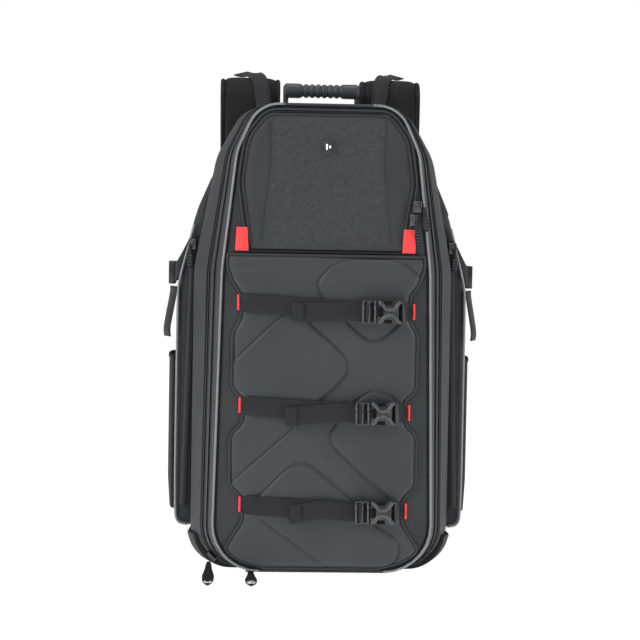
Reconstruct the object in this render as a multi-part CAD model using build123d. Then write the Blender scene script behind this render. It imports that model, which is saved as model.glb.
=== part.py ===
"""Drone backpack: zipped shell, opening lid with a moulded front, top pocket, side pockets and harness.

Millimetres. +Z is up, the front faces -Y, +X is the viewer's right. The origin is on the floor, under the
middle of the base, on the plane between the front and the back of the main compartment.
"""
import math
import os

from build123d import *

# Driving dimensions of the body
HEIGHT = 500.0            # floor to the top of the body
BASE_THICKNESS = 5.0      # moulded base under the shell
WALL = 5.0                # padded wall of the main compartment
LID_WALL = 4.0            # wall of the lid
FRONT_Y = -100.0          # plane of the lid's front
SEAM_Y = -70.0            # main zip, between the shell and the lid
WIDEST_Y = -35.0          # where the tapering gusset meets the full section
BACK_Y = 95.0             # outer face of the back panel
BACK_TAPER = 0.3          # how far the back section narrows towards the front panel's outline
SEAM_GAP = 0.4            # clearance between shell and lid

# Right halves of the outlines as (x, z, corner radius), from the base up to the top
SHELL_SIDE = [(141, 5, 38), (141, 325, 160), (118, 447, 70), (88, 500, 34)]
PANEL_SIDE = [(117.5, 5, 50), (110.5, 325, 200), (96.5, 450, 60), (74, 500, 35)]
FLAP_SIDE = [(80, 347, 5), (90.5, 418, 50), (84, 464, 40), (64, 490, 22)]
QUILT_SIDE = [(104, 341), (105, 330), (99, 312), (89.5, 300), (89.5, 273), (98, 258), (98, 200), (86.3, 189),
              (86.3, 163), (99, 150), (99, 97), (84.8, 84), (84.8, 58), (104, 28), (88, 16.5), (60, 8.5)]

# Top pocket
FLAP_THICKNESS = 3.5
POCKET_BACK_Y = -82.0     # back wall of the top pocket
QUILT_THICKNESS = 6.8

# Front straps and buckles
STRAP_HEIGHTS = {"top": 283.0, "middle": 176.0, "bottom": 71.0}
BUCKLE_CENTRES = {"top": 60.5, "middle": 55.5, "bottom": 57.0}
STRAP_ENDS = {"top": 92.0, "middle": 88.8, "bottom": 87.3}
TAIL_ENDS = {"top": -35.0, "middle": -36.0, "bottom": -30.0}
WEBBING = 20.0            # webbing width
WEBBING_THICKNESS = 1.6
STRAP_Y = FRONT_Y - QUILT_THICKNESS - 0.6     # back of the front webbing
BUCKLE_Y = STRAP_Y - WEBBING_THICKNESS - 0.6  # back of the buckles
BUCKLE_DEPTH = 8.0
BUCKLE_WIDTH = 25.0

# Side pockets, bottle pockets and side straps
WING_WIDTH = 160.0        # half width over the side pockets
WING_FRONT_Y = -12.0
WING_BACK_Y = 78.0
WING_WALL = 2.5
POCKET_DEPTH = 9.0        # how far a bottle pocket stands out
WING_BOTTOM = 38.0
SIDE_ZIP_LOW = (150.0, 62.0)
SIDE_ZIP_HIGH = (142.0, 360.0)
SIDE_STRAP_Z = 318.0

# Harness
STRAP_X = 81.5            # middle of a shoulder strap
SHOULDER_WIDTH = 66.0
SHOULDER_THICKNESS = 13.0
ARCH_Y = 128.0            # top of the shoulder strap's arch
ARCH_Z = 541.0            # middle of the pad there
HANDLE_Y = 86.0
HANDLE_HALF = 41.0
HANDLE_RISE = 21.0        # from the pivots up to the middle of the bar
HANDLE_PIVOT_Z = 508.5

# Clearances and zip hardware
CLEAR = 0.3
SLIDER = (9.0, 4.0, 12.0)     # width, depth, height of a zip slider
PULL = (7.0, 2.4, 26.0)       # width, thickness, length of a short rubber pull
MAIN_PULL = (13.0, 3.0, 75.0)

nodes = {}


def block(x, y, z):
    """Box between the two values given for each axis."""
    size = [abs(pair[1] - pair[0]) for pair in (x, y, z)]
    centre = [(pair[0] + pair[1]) / 2 for pair in (x, y, z)]
    return Pos(*centre) * Box(*size)


def mirrored(shape):
    """The same shape on the other side of the pack."""
    return mirror(shape, about=Plane.YZ)


def group(solids):
    """Several separate solids kept in one node."""
    return Compound(children=[solid for item in solids for solid in item.solids()])


def blend(side_a, side_b, amount):
    """Half outline between two matching half outlines."""
    return [tuple(a + (b - a) * amount for a, b in zip(corner_a, corner_b))
            for corner_a, corner_b in zip(side_a, side_b)]


def inset(side, distance):
    """Half outline moved inwards by about this distance, or outwards when it is negative."""
    widest = max(corner[0] for corner in side)
    low, high = side[0][1], side[-1][1]
    middle, half = (low + high) / 2, (high - low) / 2
    return [(x * (1 - distance / widest), middle + (z - middle) * (1 - distance / half), radius - distance)
            for x, z, radius in side]


def rounded_wire(corners, y):
    """Closed outline through (x, z, radius) corners, each rounded by a tangent arc."""
    edges, count = [], len(corners)
    points = [Vector(x, y, z) for x, z, _ in corners]
    ends = []
    for index, (_, _, radius) in enumerate(corners):
        here = points[index]
        back = (points[index - 1] - here).normalized()
        ahead = (points[(index + 1) % count] - here).normalized()
        half_angle = math.acos(max(-1.0, min(1.0, back.dot(ahead)))) / 2
        reach = radius / math.tan(half_angle)
        bisector = (back + ahead).normalized()
        middle = here + bisector * (radius / math.sin(half_angle) - radius)
        ends.append((here + back * reach, middle, here + ahead * reach))
    for index, (start, middle, end) in enumerate(ends):
        edges.append(Edge.make_three_point_arc(start, middle, end))
        edges.append(Edge.make_line(end, ends[(index + 1) % count][0]))
    return Wire(edges)


def wire_at(side, y):
    """Closed symmetric outline from its right half."""
    return rounded_wire(list(side) + [(-x, z, radius) for x, z, radius in reversed(side)], y)


def taper_at(y):
    """Share of the front panel's outline in the body's section at this depth."""
    if y <= WIDEST_Y:
        return (WIDEST_Y - y) / (WIDEST_Y - FRONT_Y)
    return BACK_TAPER * (y - WIDEST_Y) / (BACK_Y - WIDEST_Y)


def body_loft(depths, distance=0.0):
    """Solid through the body's sections at these depths, all inset by the same distance."""
    wires = [wire_at(inset(blend(SHELL_SIDE, PANEL_SIDE, taper_at(y)), distance), y) for y in depths]
    return Solid.make_loft(wires, True)


def slab(side, y_back, y_front, distance=0.0):
    """Flat plate with the outline of a half outline, between two depths."""
    face = Face(wire_at(inset(side, distance), y_back))
    return extrude(face, amount=y_back - y_front, dir=(0, -1, 0))


def polygon_slab(points, y_back, y_front):
    """Flat plate with a straight-edged outline given as (x, z) points."""
    face = Face(Wire.make_polygon([Vector(x, y_back, z) for x, z in points], close=True))
    return extrude(face, amount=y_back - y_front, dir=(0, -1, 0))


def make_shell():
    """Main compartment: shell, base, frame sheet, dividers and the main zip's chain."""
    outer = body_loft([SEAM_Y, WIDEST_Y, BACK_Y])
    hollow = body_loft([SEAM_Y - 2, WIDEST_Y, BACK_Y - WALL], WALL)
    nodes["main_shell"] = outer - hollow

    grown = [(x + 3, z - BASE_THICKNESS, radius + 3) for x, z, radius in SHELL_SIDE]
    narrowed = [(x * 0.95, z, radius) for x, z, radius in grown]
    sections = [wire_at(narrowed, -55), wire_at(grown, WIDEST_Y), wire_at(narrowed, BACK_Y - 1)]
    boot = Solid.make_loft(sections, True) & block((-200, 200), (-60, 120), (-1, WING_BOTTOM - 1))
    nodes["base_boot"] = boot - body_loft([SEAM_Y, WIDEST_Y, BACK_Y], -0.05)

    nodes["frame_sheet"] = block((-105, 105), (BACK_Y - WALL - 2.5, BACK_Y - WALL - 0.5), (32, 440))
    long_wall = block((42, 48), (-60, 86.5), (15, 330))
    nodes["long_dividers"] = group([long_wall, mirrored(long_wall)])
    short_wall = block((48.3, 125), (-60, 86.5), (170, 176))
    top_wall = block((-120, 120), (-60, 86.5), (331, 337))
    nodes["cross_dividers"] = group([short_wall, mirrored(short_wall), top_wall])

    depths = [SEAM_Y + 0.2, SEAM_Y + 5]
    chain = body_loft(depths, -1.7) - body_loft([depths[0] - 1, depths[1] + 1], -0.15)
    nodes["main_zip_chain"] = chain & block((-200, 200), (-100, 0), (30, 520))


def make_back():
    """Cushions, yoke, strap roots and lower anchors on the back."""
    face_y = BACK_Y + CLEAR
    upper = block((12, 88), (face_y, face_y + 18), (245, 372))
    lower = block((12, 86), (face_y, face_y + 20), (84, 236))
    for name, pad in (("upper", upper), ("lower", lower)):
        pad = fillet(pad.edges().filter_by(Axis.Y), 18)
        nodes[f"back_pads_{name}"] = group([pad, mirrored(pad)])
    nodes["shoulder_yoke"] = block((-42, 42), (face_y, face_y + 4), (385, 492))
    anchor = polygon_slab([(88, 36), (120, 36), (120, 50), (110, 60), (98, 60), (88, 50)], face_y + 2, face_y)
    tab = block((HANDLE_HALF - 8, HANDLE_HALF + 7), (78, 94), (HEIGHT + 0.1, HEIGHT + 1.2))
    nodes["webbing_anchors"] = group([anchor, mirrored(anchor), tab, mirrored(tab)])


def make_wing():
    """Right side pocket with its bottle pocket, zip strip and piping."""
    corners = [(110, WING_BOTTOM, 1), (WING_WIDTH, WING_BOTTOM, 12), (WING_WIDTH, 300, 90), (140, 385, 160),
               (114, 446, 4), (100, 446, 1)]
    profile = Face(rounded_wire(corners, WING_BACK_Y))
    solid = extrude(profile, amount=WING_BACK_Y - WING_FRONT_Y, dir=(0, -1, 0))
    solid = solid - body_loft([SEAM_Y, WIDEST_Y, BACK_Y], -0.15)
    hollow = block((144, WING_WIDTH - WING_WALL),
                   (WING_FRONT_Y + WING_WALL, WING_BACK_Y - WING_WALL), (WING_BOTTOM + 12, 285))
    (low_x, low_z), (high_x, high_z) = SIDE_ZIP_LOW, SIDE_ZIP_HIGH
    lean = (high_x - low_x) / (high_z - low_z)

    def leaning(half, low, high, y_back, y_front):
        """Strip along the side zip's line, with this half width."""
        centre_low = low_x + lean * (low - low_z)
        centre_high = low_x + lean * (high - low_z)
        points = [(centre_low - half, low), (centre_low + half, low),
                  (centre_high + half, high), (centre_high - half, high)]
        return polygon_slab(points, y_back, y_front)

    mouth = leaning(3, 70, 280, WING_FRONT_Y + WING_WALL + 1, WING_FRONT_Y - 1)
    wing = solid - hollow - mouth
    zip_strip = leaning(3.5, low_z, high_z, WING_FRONT_Y - 0.1, WING_FRONT_Y - 1.5)

    edge_y = WING_FRONT_Y - 1.6
    edge = [(WING_WIDTH - 1.2, edge_y, 52), (WING_WIDTH - 1.2, edge_y, 300), (151.0, edge_y, 333)]
    path = FilletPolyline(*edge, radius=90)
    piping = sweep(Plane(origin=edge[0], z_dir=(0, 0, 1)) * Circle(1.4), path=path)

    outer_x, skin = WING_WIDTH + POCKET_DEPTH, 1.6
    pocket = block((WING_WIDTH + CLEAR, outer_x), (0, 74), (56, 226)) \
        - block((WING_WIDTH, outer_x - skin), (skin, 74 - skin), (56 + skin, 230))
    return wing, zip_strip, piping, pocket


def make_wings():
    """Side pockets, bottle pockets, side zips and piping on both sides."""
    wing, zip_strip, piping, pocket = make_wing()
    for side, turn in (("left", mirrored), ("right", lambda shape: shape)):
        nodes[f"side_pocket_{side}"] = turn(wing)
        nodes[f"bottle_pocket_{side}"] = turn(pocket)
    nodes["side_zips"] = group([zip_strip, mirrored(zip_strip)])
    nodes["wing_piping"] = group([piping, mirrored(piping)])


def make_side_straps():
    """Compression strap and buckle round each side pocket, on the pocket's outer face."""
    # The webbing lies on the pocket; the buckle's two halves meet over its middle.
    low, high = SIDE_STRAP_Z - WEBBING / 2, SIDE_STRAP_Z + WEBBING / 2
    x = WING_WIDTH + CLEAR
    front = block((x, x + WEBBING_THICKNESS), (WING_FRONT_Y + 1, 14), (low, high))
    rear = block((x, x + WEBBING_THICKNESS), (48, WING_BACK_Y - 1), (low, high))
    nodes["side_straps"] = group([front, rear, mirrored(front), mirrored(rear)])

    female, male = buckle_halves()
    # Turn the buckle so that it runs back along +Y and faces outwards.
    place = Pos(x + 2.0, 31, SIDE_STRAP_Z) * Rot(0, 0, 90)
    female, male = place * female, place * male
    nodes["side_buckle_females"] = group([female, mirrored(female)])
    tail = polygon_tail(x + 2.4)
    for side, turn in (("left", mirrored), ("right", lambda shape: shape)):
        nodes[f"side_buckle_male_{side}"] = turn(male)
        nodes[f"side_strap_tail_{side}"] = turn(tail)


def polygon_tail(x):
    """Loose end of a side strap: hangs down and outwards from its ladder lock."""
    points = [(x, 304), (x, 298), (x + 8, 256), (x + 6, 246), (x + 9.5, 245), (x + 11.5, 256), (x + 3, 304)]
    face = Face(Wire.make_polygon([Vector(px, 6, pz) for px, pz in points], close=True))
    return extrude(face, amount=WEBBING, dir=(0, -1, 0))


def buckle_halves():
    """Side-release buckle about its middle: female half to +X, male half with ladder lock to -X."""
    half = BUCKLE_WIDTH / 2
    depth = (-BUCKLE_DEPTH, 0)
    female = block((-6.5, 23), depth, (-half, half))
    waist = Pos(4, -BUCKLE_DEPTH / 2, half + 9) * Rot(90, 0, 0) * Cylinder(12, BUCKLE_DEPTH + 2)
    female = female - waist - mirror(waist, about=Plane.XY)
    female = female - block((-7, 12), (-6.6, -1.4), (-7.2, 7.2)) - block((15.5, 19), (-9, 1), (-10.3, 10.3))

    frame = block((-23, -8), (-7, 0), (-half, half))
    for slot in (-20.5, -14):
        frame = frame - block((slot, slot + 3.4), (-8, 1), (-10.3, 10.3))
    tongue = block((-8, 8), (-5.6, -2.4), (-1.8, 1.8))
    arm = block((-8, 9), (-5.8, -2.2), (4.2, 6.9))
    male = frame + tongue + arm + mirror(arm, about=Plane.XY)
    return female, male


def make_lid():
    """Lid: shell, quilted panel, piping, top pocket lining, webbing, tabs and the pocket's zip chain."""
    outer = body_loft([SEAM_Y - SEAM_GAP, FRONT_Y])
    hollow = body_loft([SEAM_Y + 1, FRONT_Y + LID_WALL], LID_WALL)
    mouth = slab(FLAP_SIDE, FRONT_Y + LID_WALL + 1, FRONT_Y - 1, 3)
    nodes["lid_shell"] = outer - hollow - mouth

    lining = slab(FLAP_SIDE, POCKET_BACK_Y + 1.5, FRONT_Y + LID_WALL + 0.1, -1.5)
    nodes["pocket_lining"] = lining - slab(FLAP_SIDE, POCKET_BACK_Y, FRONT_Y, 0.5)

    right = QUILT_SIDE
    left = [(-x, z) for x, z in reversed(right)]
    nodes["quilted_panel"] = polygon_slab(right + left, FRONT_Y - 0.1, FRONT_Y - QUILT_THICKNESS)

    path = wire_at(inset(PANEL_SIDE, 0.5), FRONT_Y - 1.9)
    start = path.position_at(0)
    nodes["front_piping"] = sweep(Plane(origin=start, z_dir=path.tangent_at(0)) * Circle(1.7), path=path)

    chain = slab(FLAP_SIDE, FRONT_Y - 0.1, FRONT_Y - 2.2, -3.8) - slab(FLAP_SIDE, FRONT_Y, FRONT_Y - 3, -0.6)
    nodes["top_zip_chain"] = chain & block((-120, 120), (-120, -90), (373, 500))

    webbing, tacks = [], []
    for name, z in STRAP_HEIGHTS.items():
        low, high = z - WEBBING / 2, z + WEBBING / 2
        strap_y = (STRAP_Y - WEBBING_THICKNESS, STRAP_Y)
        centre = BUCKLE_CENTRES[name]
        end = STRAP_ENDS[name]
        foot = block((end - 2, end), (STRAP_Y - WEBBING_THICKNESS, FRONT_Y - 0.1), (low, high))
        webbing.append(block((-end, centre - 12), strap_y, (low, high)) + mirrored(foot))
        webbing.append(block((centre + 16, end), strap_y, (low, high)) + foot)
        tack = block((end + 0.4, end + 3.4), (FRONT_Y - 1.5, FRONT_Y - 0.1), (z - 8.5, z + 8.5))
        tacks += [tack, mirrored(tack)]
    nodes["front_straps"] = group(webbing)
    tab = polygon_slab([(82, 346), (97, 346), (95.5, 371), (85.2, 371)], FRONT_Y - 0.1, FRONT_Y - 2.5)
    nodes["red_tabs"] = group(tacks + [tab, mirrored(tab)])


def make_buckles():
    """The three front buckles, with the loose tail that leaves each ladder lock."""
    female, male = buckle_halves()
    for name, z in STRAP_HEIGHTS.items():
        place = Pos(BUCKLE_CENTRES[name], BUCKLE_Y, z)
        nodes[f"female_buckle_{name}"] = place * female
        nodes[f"male_buckle_{name}"] = place * male
        low, high = z - WEBBING / 2, z + WEBBING / 2
        start, stop = TAIL_ENDS[name], BUCKLE_CENTRES[name] - 23
        front = BUCKLE_Y - 0.2
        tail = block((start, stop), (front - WEBBING_THICKNESS, front), (low, high))
        hem = block((start, start + 6), (front - 2 * WEBBING_THICKNESS, front), (low, high))
        nodes[f"strap_tail_{name}"] = tail + hem


def make_flap():
    """Top pocket flap and the small badge on it."""
    nodes["top_flap"] = slab(FLAP_SIDE, FRONT_Y - CLEAR, FRONT_Y - CLEAR - FLAP_THICKNESS)
    badge_y = FRONT_Y - CLEAR - FLAP_THICKNESS
    badge = block((-7, 7), (badge_y - 1.6, badge_y), (448, 462))
    nodes["badge"] = fillet(badge.edges().filter_by(Axis.Y), 3)


def slider_body(x, y, z):
    """Zip slider with its back on the plane y."""
    width, depth, height = SLIDER
    return block((x - width / 2, x + width / 2), (y - depth, y), (z - height / 2, z + height / 2))


def pull_tab(x, y, z, size=PULL):
    """Pull that hangs from its rounded top edge, whose middle is the pivot."""
    width, thickness, length = size
    pull = block((x - width / 2, x + width / 2), (y - thickness / 2, y + thickness / 2), (z - length, z))
    knuckle = Pos(x, y, z) * Rot(0, 90, 0) * Cylinder(thickness / 2, width)
    return pull + knuckle


def make_zips():
    """Sliders and pulls of the top pocket, the side pockets and the main compartment."""
    top_y = FRONT_Y - CLEAR - FLAP_THICKNESS - CLEAR
    pull_y = top_y - SLIDER[1] - CLEAR - PULL[1] / 2
    for name, x, pull_x, z in (("upper", 94.5, 101.6, 394.0), ("lower", 91.0, 93.8, 380.0)):
        nodes[f"top_slider_{name}"] = slider_body(x, top_y, z)
        nodes[f"top_pull_{name}"] = pull_tab(pull_x, pull_y, z)

    side_y = WING_FRONT_Y - 1.5 - CLEAR
    x, z = SIDE_ZIP_HIGH[0] + 1.4, SIDE_ZIP_HIGH[1] - 10
    slider = slider_body(x, side_y, z)
    pull = pull_tab(x + 2, side_y - SLIDER[1] - CLEAR - PULL[1] / 2, z)
    for side, turn in (("left", mirrored), ("right", lambda shape: shape)):
        nodes[f"side_slider_{side}"] = turn(slider)
        nodes[f"side_pull_{side}"] = turn(pull)

    slider_depth = (SEAM_Y - 12.6, SEAM_Y - 1.6)
    pull_back = slider_depth[0] - MAIN_PULL[1] / 2 - CLEAR
    nodes["main_slider_base"] = block((-80, -69), slider_depth, (0.5, 4.3))
    turned = Pos(-74.5, pull_back, CLEAR + MAIN_PULL[1] / 2) * Rot(-90, 0, 0)
    nodes["main_pull_base"] = turned * pull_tab(0, 0, 0, MAIN_PULL)
    nodes["main_slider_corner"] = Pos(-116.6, sum(slider_depth) / 2, 16.8) * Rot(0, 45, 0) * Box(11, 11, 3.6)
    turned = Pos(-119.5, pull_back, 10.5) * Rot(-83.5, 0, 0)
    nodes["main_pull_corner"] = turned * pull_tab(0, 0, 0, MAIN_PULL)


def make_handle():
    """Grab handle: a ribbed grip between two round ends."""
    top = HANDLE_PIVOT_Z + HANDLE_RISE
    points = [(-HANDLE_HALF, HANDLE_Y, HANDLE_PIVOT_Z), (-HANDLE_HALF, HANDLE_Y, top),
              (HANDLE_HALF, HANDLE_Y, top), (HANDLE_HALF, HANDLE_Y, HANDLE_PIVOT_Z)]
    path = FilletPolyline(*points, radius=12)
    grip = sweep(Plane(origin=points[0], z_dir=(0, 0, 1)) * Circle(6.8), path=path)
    for end in (points[0], points[-1]):
        grip = grip + Pos(*end) * Sphere(6.8)
    nodes["grab_handle"] = grip


def strap_band(points, radii):
    """Padded band that follows a bent line in the YZ plane."""
    path = FilletPolyline(*points, radius=radii)
    start = Vector(*points[0])
    direction = Vector(*points[1]) - start
    section = Plane(origin=start, x_dir=(1, 0, 0), z_dir=direction) * Rectangle(SHOULDER_WIDTH, SHOULDER_THICKNESS)
    return sweep(section, path=path)


def make_straps():
    """Shoulder straps with their fixed roots, lower webbing and chest strap halves."""
    x = STRAP_X
    root_y = BACK_Y + CLEAR + SHOULDER_THICKNESS / 2
    root = strap_band([(x, root_y, 432), (x, root_y + 1, ARCH_Z - 0.6), (x, ARCH_Y - 0.3, ARCH_Z)], [20])
    strap = strap_band([(x, ARCH_Y + 0.3, ARCH_Z), (x, 166, ARCH_Z), (x, 163, 400), (x, 130, 226)], [30, 300])
    webbing = Pos(104, 112.5, 138) * Rot(-9.8, 0, 0) * Box(25, 2, 150)
    chest = block((x - 42, x + 30), (171, 174.5), (372, 392))
    nodes["strap_roots"] = group([root, mirrored(root)])
    for side, turn in (("left", mirrored), ("right", lambda shape: shape)):
        nodes[f"shoulder_strap_{side}"] = turn(strap)
        nodes[f"lower_strap_{side}"] = turn(webbing)
        nodes[f"chest_strap_{side}"] = turn(chest)


def main():
    """Build every node and write it as a STEP file."""
    make_shell()
    make_back()
    make_wings()
    make_side_straps()
    make_lid()
    make_buckles()
    make_flap()
    make_zips()
    make_handle()
    make_straps()
    os.makedirs("parts", exist_ok=True)
    for name, shape in nodes.items():
        export_step(shape, f"parts/{name}.step")
    print(len(nodes), "nodes")


main()
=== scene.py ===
"""Studio scene of the drone backpack: moulded quilted lid, top pocket, side pockets, harness and zips.

Shapes are worked out in millimetres in the shared frame (+Z up, the front faces -Y) and scaled to metres
when a mesh is made. Each sub-assembly is a class, each finish is a small class, and main() builds them all.
"""
from __future__ import annotations

import logging
import math
from dataclasses import dataclass, field
from enum import Enum
from typing import Callable, Iterable, Sequence

import bmesh
import bpy
import numpy as np
from mathutils import Matrix, Vector


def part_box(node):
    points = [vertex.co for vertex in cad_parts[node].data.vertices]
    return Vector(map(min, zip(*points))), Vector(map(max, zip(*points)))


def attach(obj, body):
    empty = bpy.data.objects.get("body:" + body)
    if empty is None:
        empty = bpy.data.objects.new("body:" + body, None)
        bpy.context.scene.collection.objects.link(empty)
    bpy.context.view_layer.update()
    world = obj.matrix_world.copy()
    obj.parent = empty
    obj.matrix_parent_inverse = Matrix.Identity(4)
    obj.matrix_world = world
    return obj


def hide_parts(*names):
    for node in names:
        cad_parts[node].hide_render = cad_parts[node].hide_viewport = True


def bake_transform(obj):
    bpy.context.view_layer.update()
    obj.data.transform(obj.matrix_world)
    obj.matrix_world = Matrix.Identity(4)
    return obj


LOG = logging.getLogger("backpack")
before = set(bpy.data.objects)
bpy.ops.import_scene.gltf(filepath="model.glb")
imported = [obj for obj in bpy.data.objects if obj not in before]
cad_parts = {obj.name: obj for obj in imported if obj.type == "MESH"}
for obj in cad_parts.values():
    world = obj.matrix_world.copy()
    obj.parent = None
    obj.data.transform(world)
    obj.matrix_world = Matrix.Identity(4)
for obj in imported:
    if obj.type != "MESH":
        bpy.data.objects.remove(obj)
MM = 0.001
X_AXIS, Y_AXIS, Z_AXIS, FORWARD = Vector((1, 0, 0)), Vector((0, 1, 0)), Vector((0, 0, 1)), Vector((0, -1, 0))

Point2 = tuple[float, float]
Point3 = tuple[float, float, float]
Corner = tuple[float, float, float]
Ring = list[Point3]

# Driving dimensions, in millimetres
FRONT_Y = -100.0
SEAM_Y = -70.0
WIDEST_Y = -35.0
BACK_Y = 95.0
BACK_TAPER = 0.3
WING_FRONT_Y = -12.0
WING_BACK_Y = 78.0
WING_WIDTH = 160.0
WING_BOTTOM = 38.0
WEBBING_WIDTH = 20.0
BUCKLE_Y = -109.6
SEWN_Y = -101.2
WEBBING_Y = -108.2
TAIL_Y = -111.2
STRAP_X = 81.5
ARCH_TOP = 547.5

# Right halves of the outlines as (x, z, corner radius), from the base up to the top
SHELL_SIDE: list[Corner] = [(141, 5, 38), (141, 325, 160), (118, 447, 70), (88, 500, 34)]
PANEL_SIDE: list[Corner] = [(117.5, 5, 50), (110.5, 325, 200), (96.5, 450, 60), (74, 500, 35)]
FLAP_SIDE: list[Corner] = [(80, 347, 5), (90.5, 418, 50), (84, 464, 40), (64, 490, 22)]


class Body(str, Enum):
    """Bodies of the frame that pieces ride on."""

    PACK = "pack"
    LID = "lid"
    FLAP = "top_flap"
    HANDLE = "grab_handle"


class Side(Enum):
    """The two sides of the pack, with the sign of x on each."""

    LEFT = -1
    RIGHT = 1

    @property
    def label(self) -> str:
        """Lower-case name used in node names."""
        return self.name.lower()


# ---------------------------------------------------------------------------------------------- outlines


def rounded_outline(corners: Sequence[Corner], arc_steps: int = 8, side_steps: int = 8) -> list[Point2]:
    """Closed outline with every corner rounded by a tangent arc.

    Args:
        corners: (x, z, radius) of each corner, in order.
        arc_steps: Points along each arc.
        side_steps: Points along each straight side.

    Returns:
        The outline's points, the same number for any outline with as many corners.
    """
    count = len(corners)
    points = [Vector((x, z)) for x, z, _ in corners]
    arcs: list[list[Vector]] = []
    for index, (_, _, radius) in enumerate(corners):
        here = points[index]
        back = (points[index - 1] - here).normalized()
        ahead = (points[(index + 1) % count] - here).normalized()
        half_angle = math.acos(max(-1.0, min(1.0, back.dot(ahead)))) / 2
        reach = radius / math.tan(half_angle)
        centre = here + (back + ahead).normalized() * (radius / math.sin(half_angle))
        start, end = here + back * reach - centre, here + ahead * reach - centre
        turn = start.angle_signed(end, 0.0)
        arcs.append([centre + Matrix.Rotation(-turn * step / (arc_steps - 1), 2) @ start
                     for step in range(arc_steps)])
    outline: list[Point2] = []
    for index, arc in enumerate(arcs):
        outline += [tuple(point) for point in arc]
        following = arcs[(index + 1) % count][0]
        for step in range(1, side_steps):
            outline.append(tuple(arc[-1].lerp(following, step / side_steps)))
    return outline


def both_sides(side: Sequence[Corner]) -> list[Corner]:
    """Whole outline's corners from its right half."""
    return list(side) + [(-x, z, radius) for x, z, radius in reversed(side)]


def mixed(side_a: Sequence[Corner], side_b: Sequence[Corner], amount: float) -> list[Corner]:
    """Half outline between two matching half outlines."""
    return [tuple(a + (b - a) * amount for a, b in zip(corner_a, corner_b))
            for corner_a, corner_b in zip(side_a, side_b)]


def taper_at(y: float) -> float:
    """Share of the front panel's outline in the body's section at this depth."""
    if y <= WIDEST_Y:
        return (WIDEST_Y - y) / (WIDEST_Y - FRONT_Y)
    return BACK_TAPER * (y - WIDEST_Y) / (BACK_Y - WIDEST_Y)


def offset_outline(outline: Sequence[Point2], distance: float) -> list[Point2]:
    """Outline moved outwards by a distance, or inwards when it is negative.

    Args:
        outline: Closed anticlockwise outline.
        distance: How far every point moves along its outward normal.
    """
    moved = []
    for index, (x, z) in enumerate(outline):
        before, after = outline[index - 1], outline[(index + 1) % len(outline)]
        dx, dz = after[0] - before[0], after[1] - before[1]
        length = math.hypot(dx, dz) or 1.0
        moved.append((x + distance * dz / length, z - distance * dx / length))
    return moved


def body_ring(y: float, distance: float = 0.0) -> Ring:
    """Section of the main body at this depth, moved outwards by a distance."""
    outline = rounded_outline(both_sides(mixed(SHELL_SIDE, PANEL_SIDE, taper_at(y))))
    return [(x, y, z) for x, z in offset_outline(outline, distance)]


def above(ring: Sequence[Point3], height: float) -> list[Point3]:
    """Open run of a closed ring that lies above this height."""
    first = next(i for i in range(len(ring)) if ring[i][2] > height >= ring[i - 1][2])
    turned = list(ring[first:]) + list(ring[:first])
    return [point for point in turned if point[2] > height]


def smooth_line(points: Sequence[Sequence[float]], rounds: int = 2) -> list[tuple[float, ...]]:
    """Open line with its corners cut again and again, ends kept."""
    line = [tuple(point) for point in points]
    for _ in range(rounds):
        cut = [line[0]]
        for a, b in zip(line, line[1:]):
            cut.append(tuple(p * 0.75 + q * 0.25 for p, q in zip(a, b)))
            cut.append(tuple(p * 0.25 + q * 0.75 for p, q in zip(a, b)))
        line = cut + [line[-1]]
    return line


def line_through(points: Sequence[Sequence[float]], spacing: float, closed: bool = False) -> list[Vector]:
    """Points at even spacing along a line of straight pieces."""
    line = [Vector(point) for point in points]
    if closed:
        line.append(line[0].copy())
    lengths = [0.0]
    for a, b in zip(line, line[1:]):
        lengths.append(lengths[-1] + (b - a).length)
    count = max(2, round(lengths[-1] / spacing) + 1)
    wanted = np.linspace(0.0, lengths[-1], count)
    columns = [np.interp(wanted, lengths, [point[axis] for point in line]) for axis in range(3)]
    result = [Vector(values) for values in zip(*columns)]
    return result[:-1] if closed else result


# ---------------------------------------------------------------------------------------------- meshes


def make_mesh(name: str, points: Iterable[Sequence[float]], faces: Iterable[Sequence[int]],
              uvs: Sequence[Point2] | None = None, smooth: bool = True) -> bpy.types.Object:
    """Object with a clean mesh whose normals face outwards.

    Args:
        name: Object's name.
        points: Vertices in millimetres.
        faces: Vertex indices of each face.
        uvs: One (u, v) for each vertex, if the finish reads UVs.
        smooth: Whether the faces are shaded smooth.
    """
    mesh = bpy.data.meshes.new(name)
    places = [tuple(value * MM for value in point) for point in points]
    mesh.from_pydata(places, [], [tuple(face) for face in faces])
    if uvs is not None:
        layer = mesh.uv_layers.new(name="UVMap")
        for loop in mesh.loops:
            layer.data[loop.index].uv = uvs[loop.vertex_index]
    work = bmesh.new()
    work.from_mesh(mesh)
    bmesh.ops.triangulate(work, faces=[face for face in work.faces if len(face.verts) > 4])
    bmesh.ops.recalc_face_normals(work, faces=work.faces)
    work.to_mesh(mesh)
    work.free()
    mesh.polygons.foreach_set("use_smooth", [smooth] * len(mesh.polygons))
    mesh.update()
    obj = bpy.data.objects.new(name, mesh)
    bpy.context.collection.objects.link(obj)
    return obj


def loft(name: str, rings: Sequence[Ring], close_start: bool = False,
         close_end: bool = False) -> bpy.types.Object:
    """Surface through closed rings.

    Args:
        name: Object's name.
        rings: Rings with the same number of points.
        close_start: Whether the first ring is filled.
        close_end: Whether the last ring is filled.
    """
    size = len(rings[0])
    points = [point for ring in rings for point in ring]
    faces = []
    for row in range(len(rings) - 1):
        for step in range(size):
            a, b = row * size + step, row * size + (step + 1) % size
            faces.append((a, b, b + size, a + size))
    for wanted, row in ((close_start, 0), (close_end, len(rings) - 1)):
        if wanted:
            faces.append(tuple(range(row * size, (row + 1) * size)))
    return make_mesh(name, points, faces)


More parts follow.
